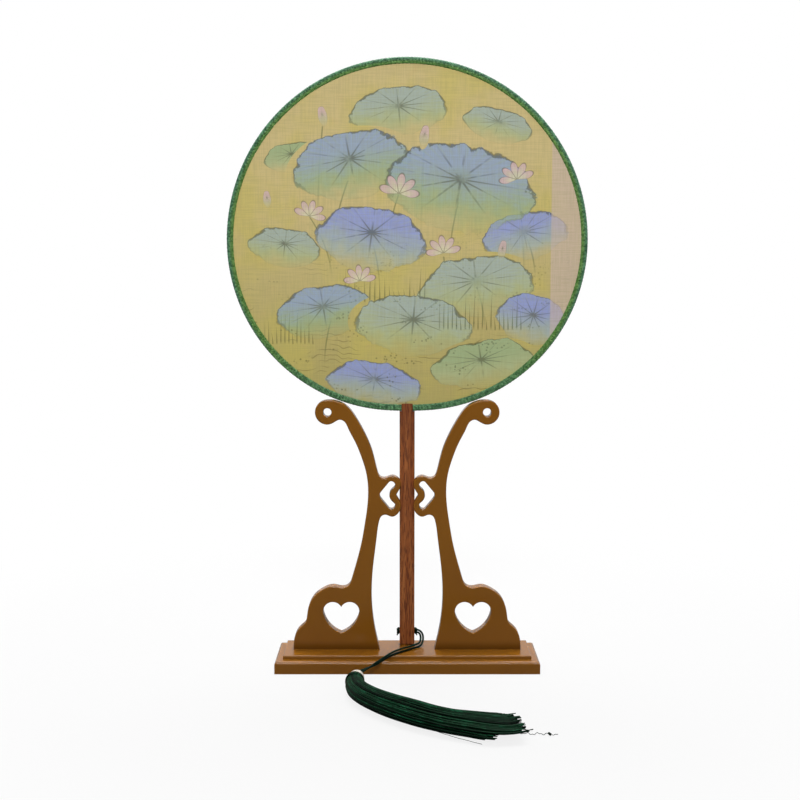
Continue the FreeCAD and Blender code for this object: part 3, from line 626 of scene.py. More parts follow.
def paint_leaves(tree, under, local, wash, brush):
    """Lotus leaves seen aslant: washed colour that fades downward, radiating veins, an inked brim."""
    wander = add(tree, "Math", brush, 0.5, operation="SUBTRACT")
    reach, _, up = away_from(tree, local, (0, 0, 0))
    spread, turn, _ = away_from(tree, local, LEAF_HEART)
    scallops = add(tree, "Math", turn, LEAF_SCALLOPS, operation="MULTIPLY")
    scallops = add(tree, "Math", scallops, operation="COSINE")
    scallops = add(tree, "Math", scallops, 0.03, operation="MULTIPLY")
    brim = add(tree, "Math", scallops, 1.0, operation="ADD")
    brim = add(tree, "Math", reach, brim, operation="MULTIPLY")
    ragged = add(tree, "Math", wander, 0.42, operation="MULTIPLY")
    brim = add(tree, "Math", brim, ragged, operation="ADD")
    inside = add(tree, "MapRange", brim, 1.0, 0.96, **SOFTLY)
    height = add(tree, "Math", up, wander, operation="ADD")
    hem = wash_colour(tree, wash, 1)
    risen = add(tree, "MapRange", height, -0.5, 0.6, **SOFTLY)
    dye = add(tree, "Mix", risen, hem, wash_colour(tree, wash, 0), **COLOURS)
    # brushed streaks run out from the heart of the leaf
    streaks = add(tree, "Math", turn, LEAF_STREAKS, operation="MULTIPLY")
    streaks = add(tree, "Math", streaks, operation="SINE")
    streaks = add(tree, "MapRange", streaks, 0.2, 1.0, **SOFTLY)
    outward = add(tree, "MapRange", spread, 0.2, 0.9, **SOFTLY)
    streaks = add(tree, "Math", streaks, outward, operation="MULTIPLY")
    streaks = add(tree, "Math", streaks, 0.3, operation="MULTIPLY")
    dye = add(tree, "Mix", streaks, dye, hem, **COLOURS)
    near_heart = add(tree, "MapRange", spread, 0.35, 0.0, 0.0, 0.35, **SOFTLY)
    dye = add(tree, "Mix", near_heart, dye, HEART_GREEN, **COLOURS)
    washed = add(tree, "MapRange", height, -1.1, -0.1, 0.12, 0.92, **SOFTLY)
    cover = add(tree, "Math", inside, washed, operation="MULTIPLY")
    painted = add(tree, "Mix", cover, under, dye, **COLOURS)
    veins = add(tree, "Math", turn, LEAF_VEINS / 2, operation="MULTIPLY")
    veins = add(tree, "Math", veins, operation="SINE")
    veins = add(tree, "Math", veins, operation="ABSOLUTE")
    veins = add(tree, "Math", veins, spread, operation="MULTIPLY")
    veins = add(tree, "Math", veins, LEAF_VEINS / 2, operation="DIVIDE")
    veins = thin_line(tree, veins, 0.02)
    inward = add(tree, "MapRange", spread, 1.0, 0.1, **SOFTLY)
    veins = add(tree, "Math", veins, inward, operation="MULTIPLY")
    veins = add(tree, "Math", veins, inside, operation="MULTIPLY")
    broken = add(tree, "MapRange", brush, 0.35, 0.55, **SOFTLY)
    veins = add(tree, "Math", veins, broken, operation="MULTIPLY")
    rim = add(tree, "Math", brim, 0.97, operation="SUBTRACT")
    rim = add(tree, "Math", rim, operation="ABSOLUTE")
    stroke = add(tree, "MapRange", brush, 0.4, 0.62, 0.014, 0.055, **SOFTLY)
    rim = add(tree, "Math", rim, stroke, operation="DIVIDE")
    rim = thin_line(tree, rim, 1.0)
    upper = add(tree, "MapRange", up, -0.9, 0.4, 0.1, 1.0, **SOFTLY)
    rim = add(tree, "Math", rim, upper, operation="MULTIPLY")
    veins = add(tree, "Math", veins, 0.55, operation="MULTIPLY")
    rim = add(tree, "Math", rim, 0.62, operation="MULTIPLY")
    ink = add(tree, "Math", veins, rim, operation="MAXIMUM")
    return add(tree, "Mix", ink, painted, INK, **COLOURS)


def paint_flowers(tree, under, local):
    """Open lotus flowers from the side: pointed petals, pale at the heart and inked round."""
    reach, turn, _ = away_from(tree, local, (0, 0, 0))
    petals = add(tree, "Math", turn, PETAL_TURNS, operation="MULTIPLY")
    petals = add(tree, "Math", petals, operation="COSINE")
    petals = add(tree, "Math", petals, operation="ABSOLUTE")
    tips = add(tree, "Math", petals, 0.8, operation="POWER")
    tips = add(tree, "Math", tips, 0.5, operation="MULTIPLY")
    tips = add(tree, "Math", tips, 0.5, operation="ADD")
    share = add(tree, "Math", reach, tips, operation="DIVIDE")
    within = add(tree, "Math", turn, operation="ABSOLUTE")
    within = add(tree, "MapRange", within, 1.78, 1.70, **SOFTLY)
    inside = add(tree, "MapRange", share, 1.0, 0.94, **SOFTLY)
    inside = add(tree, "Math", inside, within, operation="MULTIPLY")
    towards_tip = add(tree, "MapRange", share, 0.2, 0.95, **SOFTLY)
    dye = add(tree, "Mix", towards_tip, PETAL_HEART, PETAL_PINK, **COLOURS)
    cover = add(tree, "Math", inside, 0.9, operation="MULTIPLY")
    painted = add(tree, "Mix", cover, under, dye, **COLOURS)
    seams = add(tree, "Math", petals, reach, operation="MULTIPLY")
    seams = add(tree, "Math", seams, PETAL_TURNS, operation="DIVIDE")
    seams = thin_line(tree, seams, 0.025)
    seams = add(tree, "Math", seams, inside, operation="MULTIPLY")
    rim = add(tree, "Math", share, 0.97, operation="SUBTRACT")
    rim = add(tree, "Math", rim, operation="ABSOLUTE")
    rim = thin_line(tree, rim, 0.06)
    rim = add(tree, "Math", rim, within, operation="MULTIPLY")
    ink = add(tree, "Math", seams, rim, operation="MAXIMUM")
    ink = add(tree, "Math", ink, 0.5, operation="MULTIPLY")
    return add(tree, "Mix", ink, painted, INK, **COLOURS)


def paint_reeds(tree, under, x, z, spacing, foot, tallest, start, end):
    """A bed of upright blades, one to each spacing, each with its own height and lean, all in mm."""
    column = add(tree, "Math", x, spacing, operation="DIVIDE")
    number = add(tree, "Math", column, operation="FLOOR")
    chance = add(tree, "TexWhiteNoise", {"W": number}, noise_dimensions="1D")
    height = add(tree, "MapRange", chance, 0.0, 1.0, 0.35, 1.0, **SOFTLY)
    height = add(tree, "Math", height, tallest, operation="MULTIPLY")
    share = add(tree, "Math", z, foot, operation="SUBTRACT")
    share = add(tree, "Math", share, height, operation="DIVIDE")
    lean = add(tree, "Math", chance, 0.5, operation="SUBTRACT")
    lean = add(tree, "Math", lean, 0.7, operation="MULTIPLY")
    middle = add(tree, "Math", share, share, operation="MULTIPLY")
    middle = add(tree, "Math", middle, lean, operation="MULTIPLY")
    middle = add(tree, "Math", middle, 0.5, operation="ADD")
    distance = add(tree, "Math", column, operation="FRACT")
    distance = add(tree, "Math", distance, middle, operation="SUBTRACT")
    distance = add(tree, "Math", distance, operation="ABSOLUTE")
    half_width = add(tree, "MapRange", share, 0.0, 1.0, 0.16, 0.02, **SOFTLY)
    blade = add(tree, "Math", distance, half_width, operation="LESS_THAN")
    left = add(tree, "MapRange", x, start, start + 2, **SOFTLY)
    right = add(tree, "MapRange", x, end, end - 2, **SOFTLY)
    band = add(tree, "Math", left, right, operation="MULTIPLY")
    blade = add(tree, "Math", blade, band, operation="MULTIPLY")
    above_foot = add(tree, "MapRange", share, 0.0, 0.15, **SOFTLY)
    blade = add(tree, "Math", blade, above_foot, operation="MULTIPLY")
    below_tip = add(tree, "MapRange", share, 1.0, 0.97, 0.0, 0.6, **SOFTLY)
    blade = add(tree, "Math", blade, below_tip, operation="MULTIPLY")
    return add(tree, "Mix", blade, under, REED_GREEN, **COLOURS)


def pond_ground(tree, place, z):
    """Dyed ochre silk, painted darker lower down as shade, with ripples on the pond's water, and how low on
    the disc a point lies.
    """
    low = add(tree, "MapRange", z, 60.0, -125.0, **SOFTLY)
    # painted shade: the ground is painted darker lower down the disc, where less light falls
    ground = add(tree, "Mix", low, colour("CFBC84"), colour("B3A664"), **COLOURS)
    clouds = grain(tree, place, 45.0)
    clouds = add(tree, "MapRange", clouds, 0.42, 0.66, 0.0, 0.55, **SOFTLY)
    ground = add(tree, "Mix", clouds, ground, colour("C8BA5E"), **COLOURS)
    # old stains, a few millimetres across
    stains = grain(tree, place, 14.0, detail=5.0, roughness=0.7)
    stains = add(tree, "MapRange", stains, 0.55, 0.75, 0.0, 0.3, **SOFTLY)
    ground = add(tree, "Mix", stains, ground, colour("C7A070"), **COLOURS)
    # ripples about 4 mm apart, in patches on the lower half
    wander = grain(tree, place, 22.0, detail=2.0)
    wander = add(tree, "Math", wander, 16.0, operation="MULTIPLY")
    waves = add(tree, "Math", z, wander, operation="ADD")
    waves = add(tree, "Math", waves, 2 * math.pi / RIPPLE_SPACING, operation="MULTIPLY")
    waves = add(tree, "Math", waves, operation="SINE")
    patch = grain(tree, place, 18.0, stretch=(0.5, 1, 1.5), detail=2.0)
    patch = add(tree, "MapRange", patch, 0.52, 0.62, **SOFTLY)
    waves = add(tree, "MapRange", waves, 0.8, 1.0, **SOFTLY)
    patch = add(tree, "Math", patch, low, operation="MULTIPLY")
    waves = add(tree, "Math", waves, patch, operation="MULTIPLY")
    waves = add(tree, "Math", waves, 0.5, operation="MULTIPLY")
    return add(tree, "Mix", waves, ground, INK, **COLOURS), low


def paint_stems(tree, under, place):
    """Bent stems under the leaves and flowers."""
    stem = stem_group()
    mark = 0.0
    for across, up, bend, length in STEMS:
        feeds = {"Place": place, "Foot": (across, 0, up), "Bend": bend, "Length": length, "Before": mark}
        mark = add(tree, "Group", feeds, node_tree=stem)
    return add(tree, "Mix", mark, under, STEM_GREEN, **COLOURS)


def paint_duckweed(tree, under, place, low):
    """Specks of 1 to 2 mm in drifts on the water."""
    specks = add(tree, "TexVoronoi", {"Vector": place, "Scale": 1 / WEED_SPACING})
    drifts = grain(tree, place, 16.0, stretch=(0.6, 1, 1.6), detail=2.0)
    drifts = add(tree, "MapRange", drifts, 0.56, 0.62, **SOFTLY)
    specks = add(tree, "MapRange", specks, 0.34, 0.22, **SOFTLY)
    drifts = add(tree, "Math", drifts, low, operation="MULTIPLY")
    specks = add(tree, "Math", specks, drifts, operation="MULTIPLY")
    specks = add(tree, "Math", specks, 0.6, operation="MULTIPLY")
    return add(tree, "Mix", specks, under, WEED_GREEN, **COLOURS)


def pond_picture(tree, place, x, z):
    """The printed lotus pond, painted from the far leaves to the near ones over dyed ochre."""
    painted, low = pond_ground(tree, place, z)
    painted = paint_stems(tree, painted, place)
    brush = grain(tree, place, 11.0, detail=5.0)
    group = foremost_group()
    painted = paint_leaves(tree, painted, *foremost(tree, group, place, FAR_LEAVES), brush)
    painted = paint_reeds(tree, painted, x, z, *MIDDLE_REEDS)
    painted = paint_leaves(tree, painted, *foremost(tree, group, place, NEAR_LEAVES), brush)
    painted = paint_flowers(tree, painted, foremost(tree, group, place, FLOWERS)[0])
    painted = paint_reeds(tree, painted, x, z, *RIGHT_REEDS)
    painted = paint_reeds(tree, painted, x, z, *LEFT_REEDS)
    painted = paint_duckweed(tree, painted, place, low)
    # painted highlight: a paler, pinkish band down the right side of the silk
    painted_highlight = add(tree, "MapRange", x, HIGHLIGHT_EDGE - 0.4, HIGHLIGHT_EDGE + 0.4, 0.0, 0.62, **SOFTLY)
    return add(tree, "Mix", painted_highlight, painted, HIGHLIGHT_PINK, **COLOURS)


def silk_print(name, clearness):
    """Stretched ochre silk gauze, printed: matt dye on fine slubbed threads, paler on the lining."""
    material, tree = new_material(name)
    place, _ = model_place(tree)
    local = add(tree, "VectorMath", place, DISC_MIDDLE, operation="SUBTRACT")
    x, _, z = add(tree, "SeparateXYZ", local).outputs
    flat = add(tree, "CombineXYZ", x, 0.0, z)
    dyed = add(tree, "Mix", clearness, colour("C9B978"), pond_picture(tree, flat, x, z), **COLOURS)
    # slubs about 0.8 mm thick and 20 mm long, both ways
    across = grain(tree, flat, 0.8, stretch=(0.04, 1, 1), detail=2.0)
    along = grain(tree, flat, 0.8, stretch=(1, 1, 0.04), detail=2.0)
    slubs = add(tree, "Math", across, along, operation="ADD")
    slubs = add(tree, "MapRange", slubs, 0.8, 1.2, 0.0, 0.22, **SOFTLY)
    dyed = add(tree, "Mix", slubs, dyed, colour("8F8A5C"), **COLOURS)
    # threads are 0.25 mm apart, drawn at 0.7 mm so that they show
    ribs = []
    for axis in (x, z):
        wave = add(tree, "Math", axis, 2 * math.pi / 0.7, operation="MULTIPLY")
        ribs.append(add(tree, "Math", wave, operation="SINE"))
    weave = add(tree, "Math", *ribs, operation="ADD")
    return finish_material(material, {
        "Base Color": dyed,
        "Roughness": 0.7,
        "Specular IOR Level": 0.2,
        "Normal": add(tree, "Bump", {"Height": weave, "Distance": 0.02 * MM, "Strength": 0.4}),
    })


# ---------------------------------------------------------------- silks
SILK_DEPTH = 1.155
SILK_THICKNESS = 0.25
SILK_INSET = 2.4
SILK_RINGS = 40
SILK_SPOKES = 180
# the silk's slack, in mm, and the size of its waves
SILK_SLACK = 0.35
SLACK_WAVES = 30.0


def make_silk(label, way, material):
    """One silk stretched on the hoop, slack by a tenth of a millimetre or two away from it."""
    middle = Vector((0, RIM_MIDDLE))
    points = []
    faces = []
    for face in (-1, 1):
        first = len(points)
        points.append(from_fan(middle.x, way * SILK_DEPTH + face * SILK_THICKNESS / 2, middle.y))
        for ring in range(1, SILK_RINGS + 1):
            share = ring / SILK_RINGS
            for spoke in range(SILK_SPOKES):
                edge, _ = rim_point(spoke / SILK_SPOKES, SILK_INSET)
                spot = middle.lerp(edge, share)
                wave = noise.noise(Vector((spot.x, spot.y, 50 * way)) / SLACK_WAVES) * SILK_SLACK
                depth = way * SILK_DEPTH + wave * (1 - share**4) + face * SILK_THICKNESS / 2
                points.append(from_fan(spot.x, depth, spot.y))
        for spoke in range(SILK_SPOKES):
            beside = (spoke + 1) % SILK_SPOKES
            triangle = (first, first + 1 + spoke, first + 1 + beside)
            faces.append(triangle if face < 0 else triangle[::-1])
            for ring in range(SILK_RINGS - 1):
                low = first + 1 + ring * SILK_SPOKES
                high = low + SILK_SPOKES
                square = (low + spoke, high + spoke, high + beside, low + beside)
                faces.append(square if face < 0 else square[::-1])
    half = len(points) // 2
    outer = 1 + (SILK_RINGS - 1) * SILK_SPOKES
    for spoke in range(SILK_SPOKES):
        beside = (spoke + 1) % SILK_SPOKES
        hem = (outer + spoke, half + outer + spoke, half + outer + beside, outer + beside)
        faces.append(hem)
    silk = new_mesh(f"{label}_cloth", points, faces, "fan", material)
    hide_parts(label)
    edge = [rim_point(spoke / SILK_SPOKES, SILK_INSET)[0] for spoke in range(SILK_SPOKES)]
    return silk


# ---------------------------------------------------------------- braided edge
BRAID_YARNS = 8
BRAID_TURNS = 44
BRAID_STEPS = 22
YARN_WIDTH = 1.8
YARN_THICKNESS = 0.5
YARN_WAVE = 0.25


def braid_section(angle):
    """A point of the binding's rounded section and its outward direction: (out, d) in mm."""
    half_out = BRAID_WIDTH / 2 - YARN_THICKNESS / 2 - YARN_WAVE
    half_deep = BRAID_DEPTH / 2 - YARN_THICKNESS / 2 - YARN_WAVE
    cosine = math.cos(angle)
    sine = math.sin(angle)
    # 1 would give an ellipse, 0 a rectangle
    squared = 0.55
    spot = Vector((
        math.copysign(abs(cosine) ** squared, cosine) * half_out,
        math.copysign(abs(sine) ** squared, sine) * half_deep,
    ))
    outward = Vector((
        math.copysign(abs(cosine) ** (2 - squared), cosine) / half_out,
        math.copysign(abs(sine) ** (2 - squared), sine) / half_deep,
    ))
    return spot, outward.normalized()


def make_braid(material):
    """The binding: yarns wound both ways round the rim, over and under each other."""
    points = []
    faces = []
    steps = BRAID_TURNS * BRAID_STEPS
    for way in (-1, 1):
        for yarn in range(BRAID_YARNS):
            line = []
            normals = []
            for step in range(steps):
                share = step / steps
                wound = 2 * math.pi * BRAID_TURNS * share
                angle = 2 * math.pi * yarn / BRAID_YARNS + way * wound
                spot, outward = braid_section(angle)
                lift = way * YARN_WAVE * math.cos(BRAID_YARNS * wound)
                spot = spot + outward * lift
                edge, out = rim_point(share, BRAID_WIDTH / 2)
                flat = edge + out * spot.x
                line.append(from_fan(flat.x, spot.y, flat.y))
                tip = edge + out * (spot.x + outward.x)
                normals.append((from_fan(tip.x, spot.y + outward.y, tip.y) - line[-1]).normalized())
            rings = []
            for step, (here, normal) in enumerate(zip(line, normals)):
                along = (line[(step + 1) % steps] - line[step - 1]).normalized()
                side = along.cross(normal).normalized() * YARN_WIDTH / 2 * MM
                rise = normal * YARN_THICKNESS / 2 * MM
                rings.append([
                    here - side,
                    here - side * 0.5 + rise * 0.8,
                    here + side * 0.5 + rise * 0.8,
                    here + side,
                    here - rise,
                ])
            add_tube(points, faces, rings, closed=True)
    braid = new_mesh("rim_braid", points, faces, "fan", material)
    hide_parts("edge_braid")
    return braid


# ---------------------------------------------------------------- cord
# The doubled cord's route, from inside the handle's cross hole to inside the bead, in mm.
CORD_ROUTE = [
    (4.4, 10.2, 22.1),
    (8.8, 10.2, 22.1),
    (11.4, 8.8, 18.5),
    (10.4, 2.8, 13.9),
    (5.5, -3.4, 14.0),
    (-0.5, -9.0, 14.0),
    (-6.0, -14.5, 14.0),
    (-11.5, -21.0, 13.9),
    (-17.5, -28.0, 12.0),
    (-25.4, -33.6, 8.6),
    (-33.6, -37.2, 5.9),
    (-34.7, -43.6, 5.5),
]
STRAND_RADIUS = 0.75
STRAND_GAP = 0.45
STRAND_SIDES = 10
CORD_SAMPLES = 140
# turns of the pair in radians: where it starts, over its first EXIT_SHARE, and from TWIST_START to the bead
START_TURN = 0.2
EXIT_TURN = 1.95
EXIT_SHARE = 0.3
TWIST = 12.0
TWIST_START = 0.78
GAP_END = 0.8


def make_cord(material):
    """Two strands: a little apart from the handle to the base's edge, wound together at the tassel."""
    line = evenly(smooth_line("cord_route", [Vector(spot) * MM for spot in CORD_ROUTE]), CORD_SAMPLES)
    points = []
    faces = []
    frames = frames_along(line, UP)
    for way in (-1, 1):
        strand = []
        for step, (here, (_, side, up)) in enumerate(zip(line, frames)):
            share = step / (CORD_SAMPLES - 1)
            turn = START_TURN + EXIT_TURN * min(1.0, share / EXIT_SHARE)
            turn += TWIST * max(0.0, share - TWIST_START)
            apart = STRAND_RADIUS + STRAND_GAP * math.sin(math.pi * min(1.0, share / GAP_END)) ** 0.7
            strand.append(here + (side * math.cos(turn) + up * math.sin(turn)) * way * apart * MM)
        add_tube(points, faces, rings_round(strand, [STRAND_RADIUS * MM] * len(strand), STRAND_SIDES, UP))
    cord = new_mesh("cord_strands", points, faces, "fan", material)
    # one strand a shade darker than the other
    half = len(points) // 2
    shade_points(cord, [0.3] * half + [0.6] * half)
    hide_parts("tassel_cord")
    return cord, line


# ---------------------------------------------------------------- knots
# the cross hole's depth and height, the knot's middle out from the handle's axis, and its size, in mm
KNOT_HOLE = (10.2, 22.1)
KNOT_X = 6.5
KNOT_SCALE = 0.7
KNOT_SWING = 0.45
KNOT_STEPS = 60
KNOT_SIDES = 8
KNOT_END_RADIUS = 0.4


def make_knot(label, side, material):
    """A fine strand tied in an overhand knot against the handle's side, with its two short ends."""
    depth, height = KNOT_HOLE
    line = []
    for step in range(KNOT_STEPS):
        turn = 2 * math.pi * step / KNOT_STEPS
        swing = KNOT_SWING * math.sin(3 * turn)
        across = (math.sin(turn) + 2 * math.sin(2 * turn)) * KNOT_SCALE
        rise = (math.cos(turn) - 2 * math.cos(2 * turn)) * KNOT_SCALE
        line.append(Vector((side * (KNOT_X + swing), depth + across, height + rise)) * MM)
    points = []
    faces = []
    rings = rings_round(line, [STRAND_RADIUS * MM] * KNOT_STEPS, KNOT_SIDES, Vector((1, 0, 0)))
    add_tube(points, faces, rings, closed=True)
    for lean in (-0.5, 0.3):
        stub = [
            Vector((side * (KNOT_X - 2.5), depth, height)),
            Vector((side * KNOT_X, depth - 0.5, height - 0.6)),
            Vector((side * (KNOT_X + 0.3), depth - 1.6, height - 1.8 + lean)),
            Vector((side * (KNOT_X + 0.9), depth - 2.1 + lean, height - 2.8)),
        ]
        tail = smooth_line("knot_end", [spot * MM for spot in stub])
        add_tube(points, faces, rings_round(tail, [KNOT_END_RADIUS * MM] * len(tail), KNOT_SIDES, UP))
    knot = new_mesh(f"{label}_tied", points, faces, "fan", material)
    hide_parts(label)
    return knot


# ---------------------------------------------------------------- tassel
BEAD_CENTRE = Vector((-35.5, -48.4, 5.5))
TASSEL_AXIS = Vector((-0.07, -0.985, 0.1)).normalized()
CAP_START = 4.9
CAP_RADIUS = 6.7
CAP_LENGTH = 10.0
CAP_GROOVES = 64
GROOVE_STEPS = 4
GROOVE_DEPTH = 0.16
DOME_STEPS = 12
WALL_STEPS = 8
FLOOR_GAP = 0.2
# the threads past the cap: middle's x and y, width and height of the bundle there, in mm
SKIRT_ROUTE = [
    (-34.8, -73.2, 15.0, 13.0),
    (-29.2, -86.4, 19.0, 13.0),
    (-17.2, -101.6, 23.5, 12.8),
    (0.0, -117.2, 28.5, 12.6),
    (19.0, -131.3, 29.8, 12.0),
    (39.0, -140.2, 34.0, 11.6),
    (57.5, -144.4, 38.0, 10.9),
    (70.5, -142.0, 35.0, 11.2),
]
THREADS = 700
THREAD_RADIUS = 0.33
THREAD_POINTS = 36
THREAD_SIDES = 5
CAP_OVERLAP = 1.5
LOCKS = 130
LOCK_PULL = 0.6
LOCK_SWAY = 0.13
THREAD_DRIFT = 0.06
# how far a lock and a thread are cut from the even end, as shares of the length, and a lock's shade
LOCK_CUT = (-0.04, 0.01)
THREAD_CUT = (-0.03, 0.012)
LOCK_SHADE = (0.3, 0.9)
# the locks in front and lowest are cut 18 mm shorter, those at the back 8 mm
FRONT_CUT = 0.125
BACK_CUT = 0.055
# strayed threads: radius and crinkle in mm, and the route
STRAYS = [
    (
        0.2,
        0.5,
        [(66, -143.6, 2.5), (70, -143.2, 0.8), (78, -143.6, 0.7), (86, -143.2, 0.7), (93.2, -144.3, 0.7)],
    ),
    (0.6, 0.3, [(87.2, -143.4, 0.6), (88.2, -142.6, 1.0), (87.4, -144.6, 1.2), (88.4, -145.4, 0.7)]),
    (0.33, 0.1, [(70, -143.5, 4.0), (73.5, -141.6, 2.6), (75.5, -138.5, 1.0), (78.6, -135.2, 0.6)]),
    (
        0.16,
        0.05,
        [(4, -128, 2), (17.4, -139.6, 0.8), (28.5, -148.6, 0.5), (37, -154.8, 0.5), (44.8, -160.3, 0.5)],
    ),
]
STRAY_POINTS = 60
STRAY_SHADE = 0.5
# the crinkle's long and short wave, in radians over a strayed thread's length
LONG_WAVE = 26
SHORT_WAVE = 61
GOLDEN_ANGLE = math.pi * (3 - math.sqrt(5))


def disc_spot(number, count):
    """Evenly spread places in a round of radius 1."""
    reach = math.sqrt((number + 0.5) / count)
    return Vector((math.cos(number * GOLDEN_ANGLE), math.sin(number * GOLDEN_ANGLE))) * reach


def make_cap(material):
    """The tassel's domed head of threads laid side by side from its crown to its mouth."""
    side = TASSEL_AXIS.cross(UP).normalized()
    rise = side.cross(TASSEL_AXIS)
    profile = []
    for step in range(1, DOME_STEPS + 1):
        turn = math.pi / 2 * step / DOME_STEPS
        profile.append((CAP_RADIUS * math.sin(turn), CAP_RADIUS * (1 - math.cos(turn))))
    for step in range(1, WALL_STEPS + 1):
        share = step / WALL_STEPS
        profile.append((CAP_RADIUS - 0.25 * share**2, CAP_RADIUS + (CAP_LENGTH - CAP_RADIUS) * share))
    profile.append((CAP_RADIUS - 1.2, CAP_LENGTH - 0.2))
    rings = []
    steps = CAP_GROOVES * GROOVE_STEPS
    for radius, distance in profile:
        ring = []
        for step in range(steps):
            turn = 2 * math.pi * step / steps
            hollow = (1 - abs(math.sin(turn * CAP_GROOVES / 2))) ** 2
            groove = GROOVE_DEPTH * hollow * min(1, radius / 3)
            out = side * math.cos(turn) + rise * math.sin(turn)
            centre = BEAD_CENTRE + TASSEL_AXIS * (CAP_START + distance)
            ring.append((centre + out * (radius - groove)) * MM)
        rings.append(ring)
    points = []
    faces = []
    add_tube(points, faces, rings)
    laid = [random.random() for _ in range(CAP_GROOVES)]
    cap = new_mesh("tassel_cap_threads", points, faces, "fan", material)
    shade_points(cap, [laid[step // GROOVE_STEPS] for step in range(steps)] * len(rings))
    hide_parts("tassel_cap")
    return cap


def step_between(value, start, end):
    """0 before the start, 1 past the end, and a soft rise between."""
    share = min(1.0, max(0.0, (value - start) / (end - start)))
    return share * share * (3 - 2 * share)


def cut_thread(line, shares, longest):
    """The thread's points up to the share of the length at which it is cut."""
    kept = [spot for spot, share in zip(line, shares) if share < longest]
    last = len(kept)
    if last < len(line):
        span = shares[last] - shares[last - 1]
        kept.append(line[last - 1].lerp(line[last], (longest - shares[last - 1]) / span))
    return kept


def add_stray(points, faces, radius, crinkle, route):
    """A single thread that has strayed onto the floor, wavy from having been plied."""
    line = evenly(smooth_line("stray", [Vector(spot) * MM for spot in route]), STRAY_POINTS)
    wavy = []
    for step, (here, (_, side, _)) in enumerate(zip(line, frames_along(line, UP))):
        share = step / (STRAY_POINTS - 1)
        sway = math.sin(share * LONG_WAVE) + 0.6 * math.sin(share * SHORT_WAVE + 1)
        wavy.append(here + side * sway * crinkle * min(1, 4 * share) * MM)
    add_tube(points, faces, rings_round(wavy, [radius * MM] * len(wavy), THREAD_SIDES, UP))


def make_skirt(material):
    """The hanging threads, one by one: gathered at the cap, in loose locks on their curve, cut unevenly."""
    first = 2 * (CAP_RADIUS - 0.6)
    route = [BEAD_CENTRE + TASSEL_AXIS * (CAP_START + CAP_LENGTH - CAP_OVERLAP)]
    spans = [Vector((first, first, 0))]
    for x, y, width, height in SKIRT_ROUTE:
        route.append(Vector((x, y, FLOOR_GAP + height / 2)))
        spans.append(Vector((width, height, 0)))
    course = line_through("skirt_route", [spot * MM for spot in route])
    middle = evenly(course, THREAD_POINTS)
    sizes = evenly(course, THREAD_POINTS, line_through("skirt_spans", spans))
    frames = frames_along(middle, TASSEL_AXIS.cross(UP))
    shares = [step / (THREAD_POINTS - 1) for step in range(THREAD_POINTS)]
    locks = [disc_spot(number, LOCKS) for number in range(LOCKS)]
    cuts = [random.uniform(*LOCK_CUT) for _ in locks]
    tints = [random.uniform(*LOCK_SHADE) for _ in locks]
    shades = []
    points = []
    faces = []
    for thread in range(THREADS):
        spot = disc_spot(thread, THREADS)
        lock = min(range(LOCKS), key=lambda number: (locks[number] - spot).length)
        front = FRONT_CUT * step_between(0.76 * locks[lock].x - 0.65 * locks[lock].y, 0.45, 0.6)
        back = BACK_CUT * step_between(-locks[lock].x, 0.4, 1.0)
        longest = 1.0 - front - back + cuts[lock] + random.uniform(*THREAD_CUT)
        line = []
        for step, share in enumerate(shares):
            _, side, rise = frames[step]
            sway = noise.noise_vector(Vector((lock * 3.7, share * 2.2, 5))) * LOCK_SWAY * share**0.5
            drift = noise.noise_vector(Vector((thread * 0.37, share * 5, 0))) * THREAD_DRIFT * share**0.5
            place = spot.lerp(locks[lock], LOCK_PULL * step_between(share, 0.0, 0.25))
            place = place + Vector((sway.x + drift.x, sway.y + drift.y))
            if place.length > 1:
                place.normalize()
            half_width = sizes[step].x / 2 - THREAD_RADIUS
            half_height = sizes[step].y / 2 - THREAD_RADIUS
            line.append(middle[step] + (side * place.x * half_width + rise * place.y * half_height) * MM)
        line = cut_thread(line, shares, longest)
        radii = [THREAD_RADIUS * MM] * len(line)
        add_tube(points, faces, rings_round(line, radii, THREAD_SIDES, UP))
        # painted shade: threads deep in the bundle are painted darker and the outermost paler, for the
        # shade inside the tassel
        painted_light_by_depth = step_between(spot.length, 0.55, 0.95)
        shades += [tints[lock] * painted_light_by_depth] * (len(points) - len(shades))
    for stray in STRAYS:
        add_stray(points, faces, *stray)
    shades += [STRAY_SHADE] * (len(points) - len(shades))
    skirt = new_mesh("tassel_skirt_threads", points, faces, "fan", material)
    shade_points(skirt, shades)
    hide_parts("tassel_skirt")
    return skirt


# ---------------------------------------------------------------- stage
FLOOR_HALF = 6.0
FLOOR_DROP = 0.0002


def make_floor():
    """A pale floor that keeps the shadow near the object and fades to the white of the background."""
    material, tree = new_material("pale_floor")
    camera_ray = add(tree, "LightPath").outputs["Is Camera Ray"]
    place = add(tree, "NewGeometry").outputs["Position"]
    distance = add(tree, "VectorMath", place, operation="LENGTH")
    share = add(tree, "MapRange", distance, 0.22, 0.5, 0.84, 1.0, **SOFTLY)
    seen = add(tree, "Math", camera_ray, share, operation="MULTIPLY")
    pale = add(tree, "Mix", camera_ray, (0.2, 0.2, 0.2, 1), (0.5, 0.5, 0.5, 1), **COLOURS)
    diffuse = add(tree, "BsdfDiffuse", {"Color": pale})
    white = add(tree, "Emission", {"Color": (1, 1, 1, 1), "Strength": 1.0})
    mixed = add(tree, "MixShader", seen, diffuse, white)
    add(tree, "OutputMaterial", {"Surface": mixed})
    corners = [(-FLOOR_HALF, -FLOOR_HALF, 0), (FLOOR_HALF, -FLOOR_HALF, 0)]
    corners += [(FLOOR_HALF, FLOOR_HALF, 0), (-FLOOR_HALF, FLOOR_HALF, 0)]
    mesh = bpy.data.meshes.new("floor")
    mesh.from_pydata(corners, [], [(0, 1, 2, 3)])
    mesh.materials.append(material)
    floor = bpy.data.objects.new("floor", mesh)
    floor.location.z = -FLOOR_DROP
    bpy.context.scene.collection.objects.link(floor)


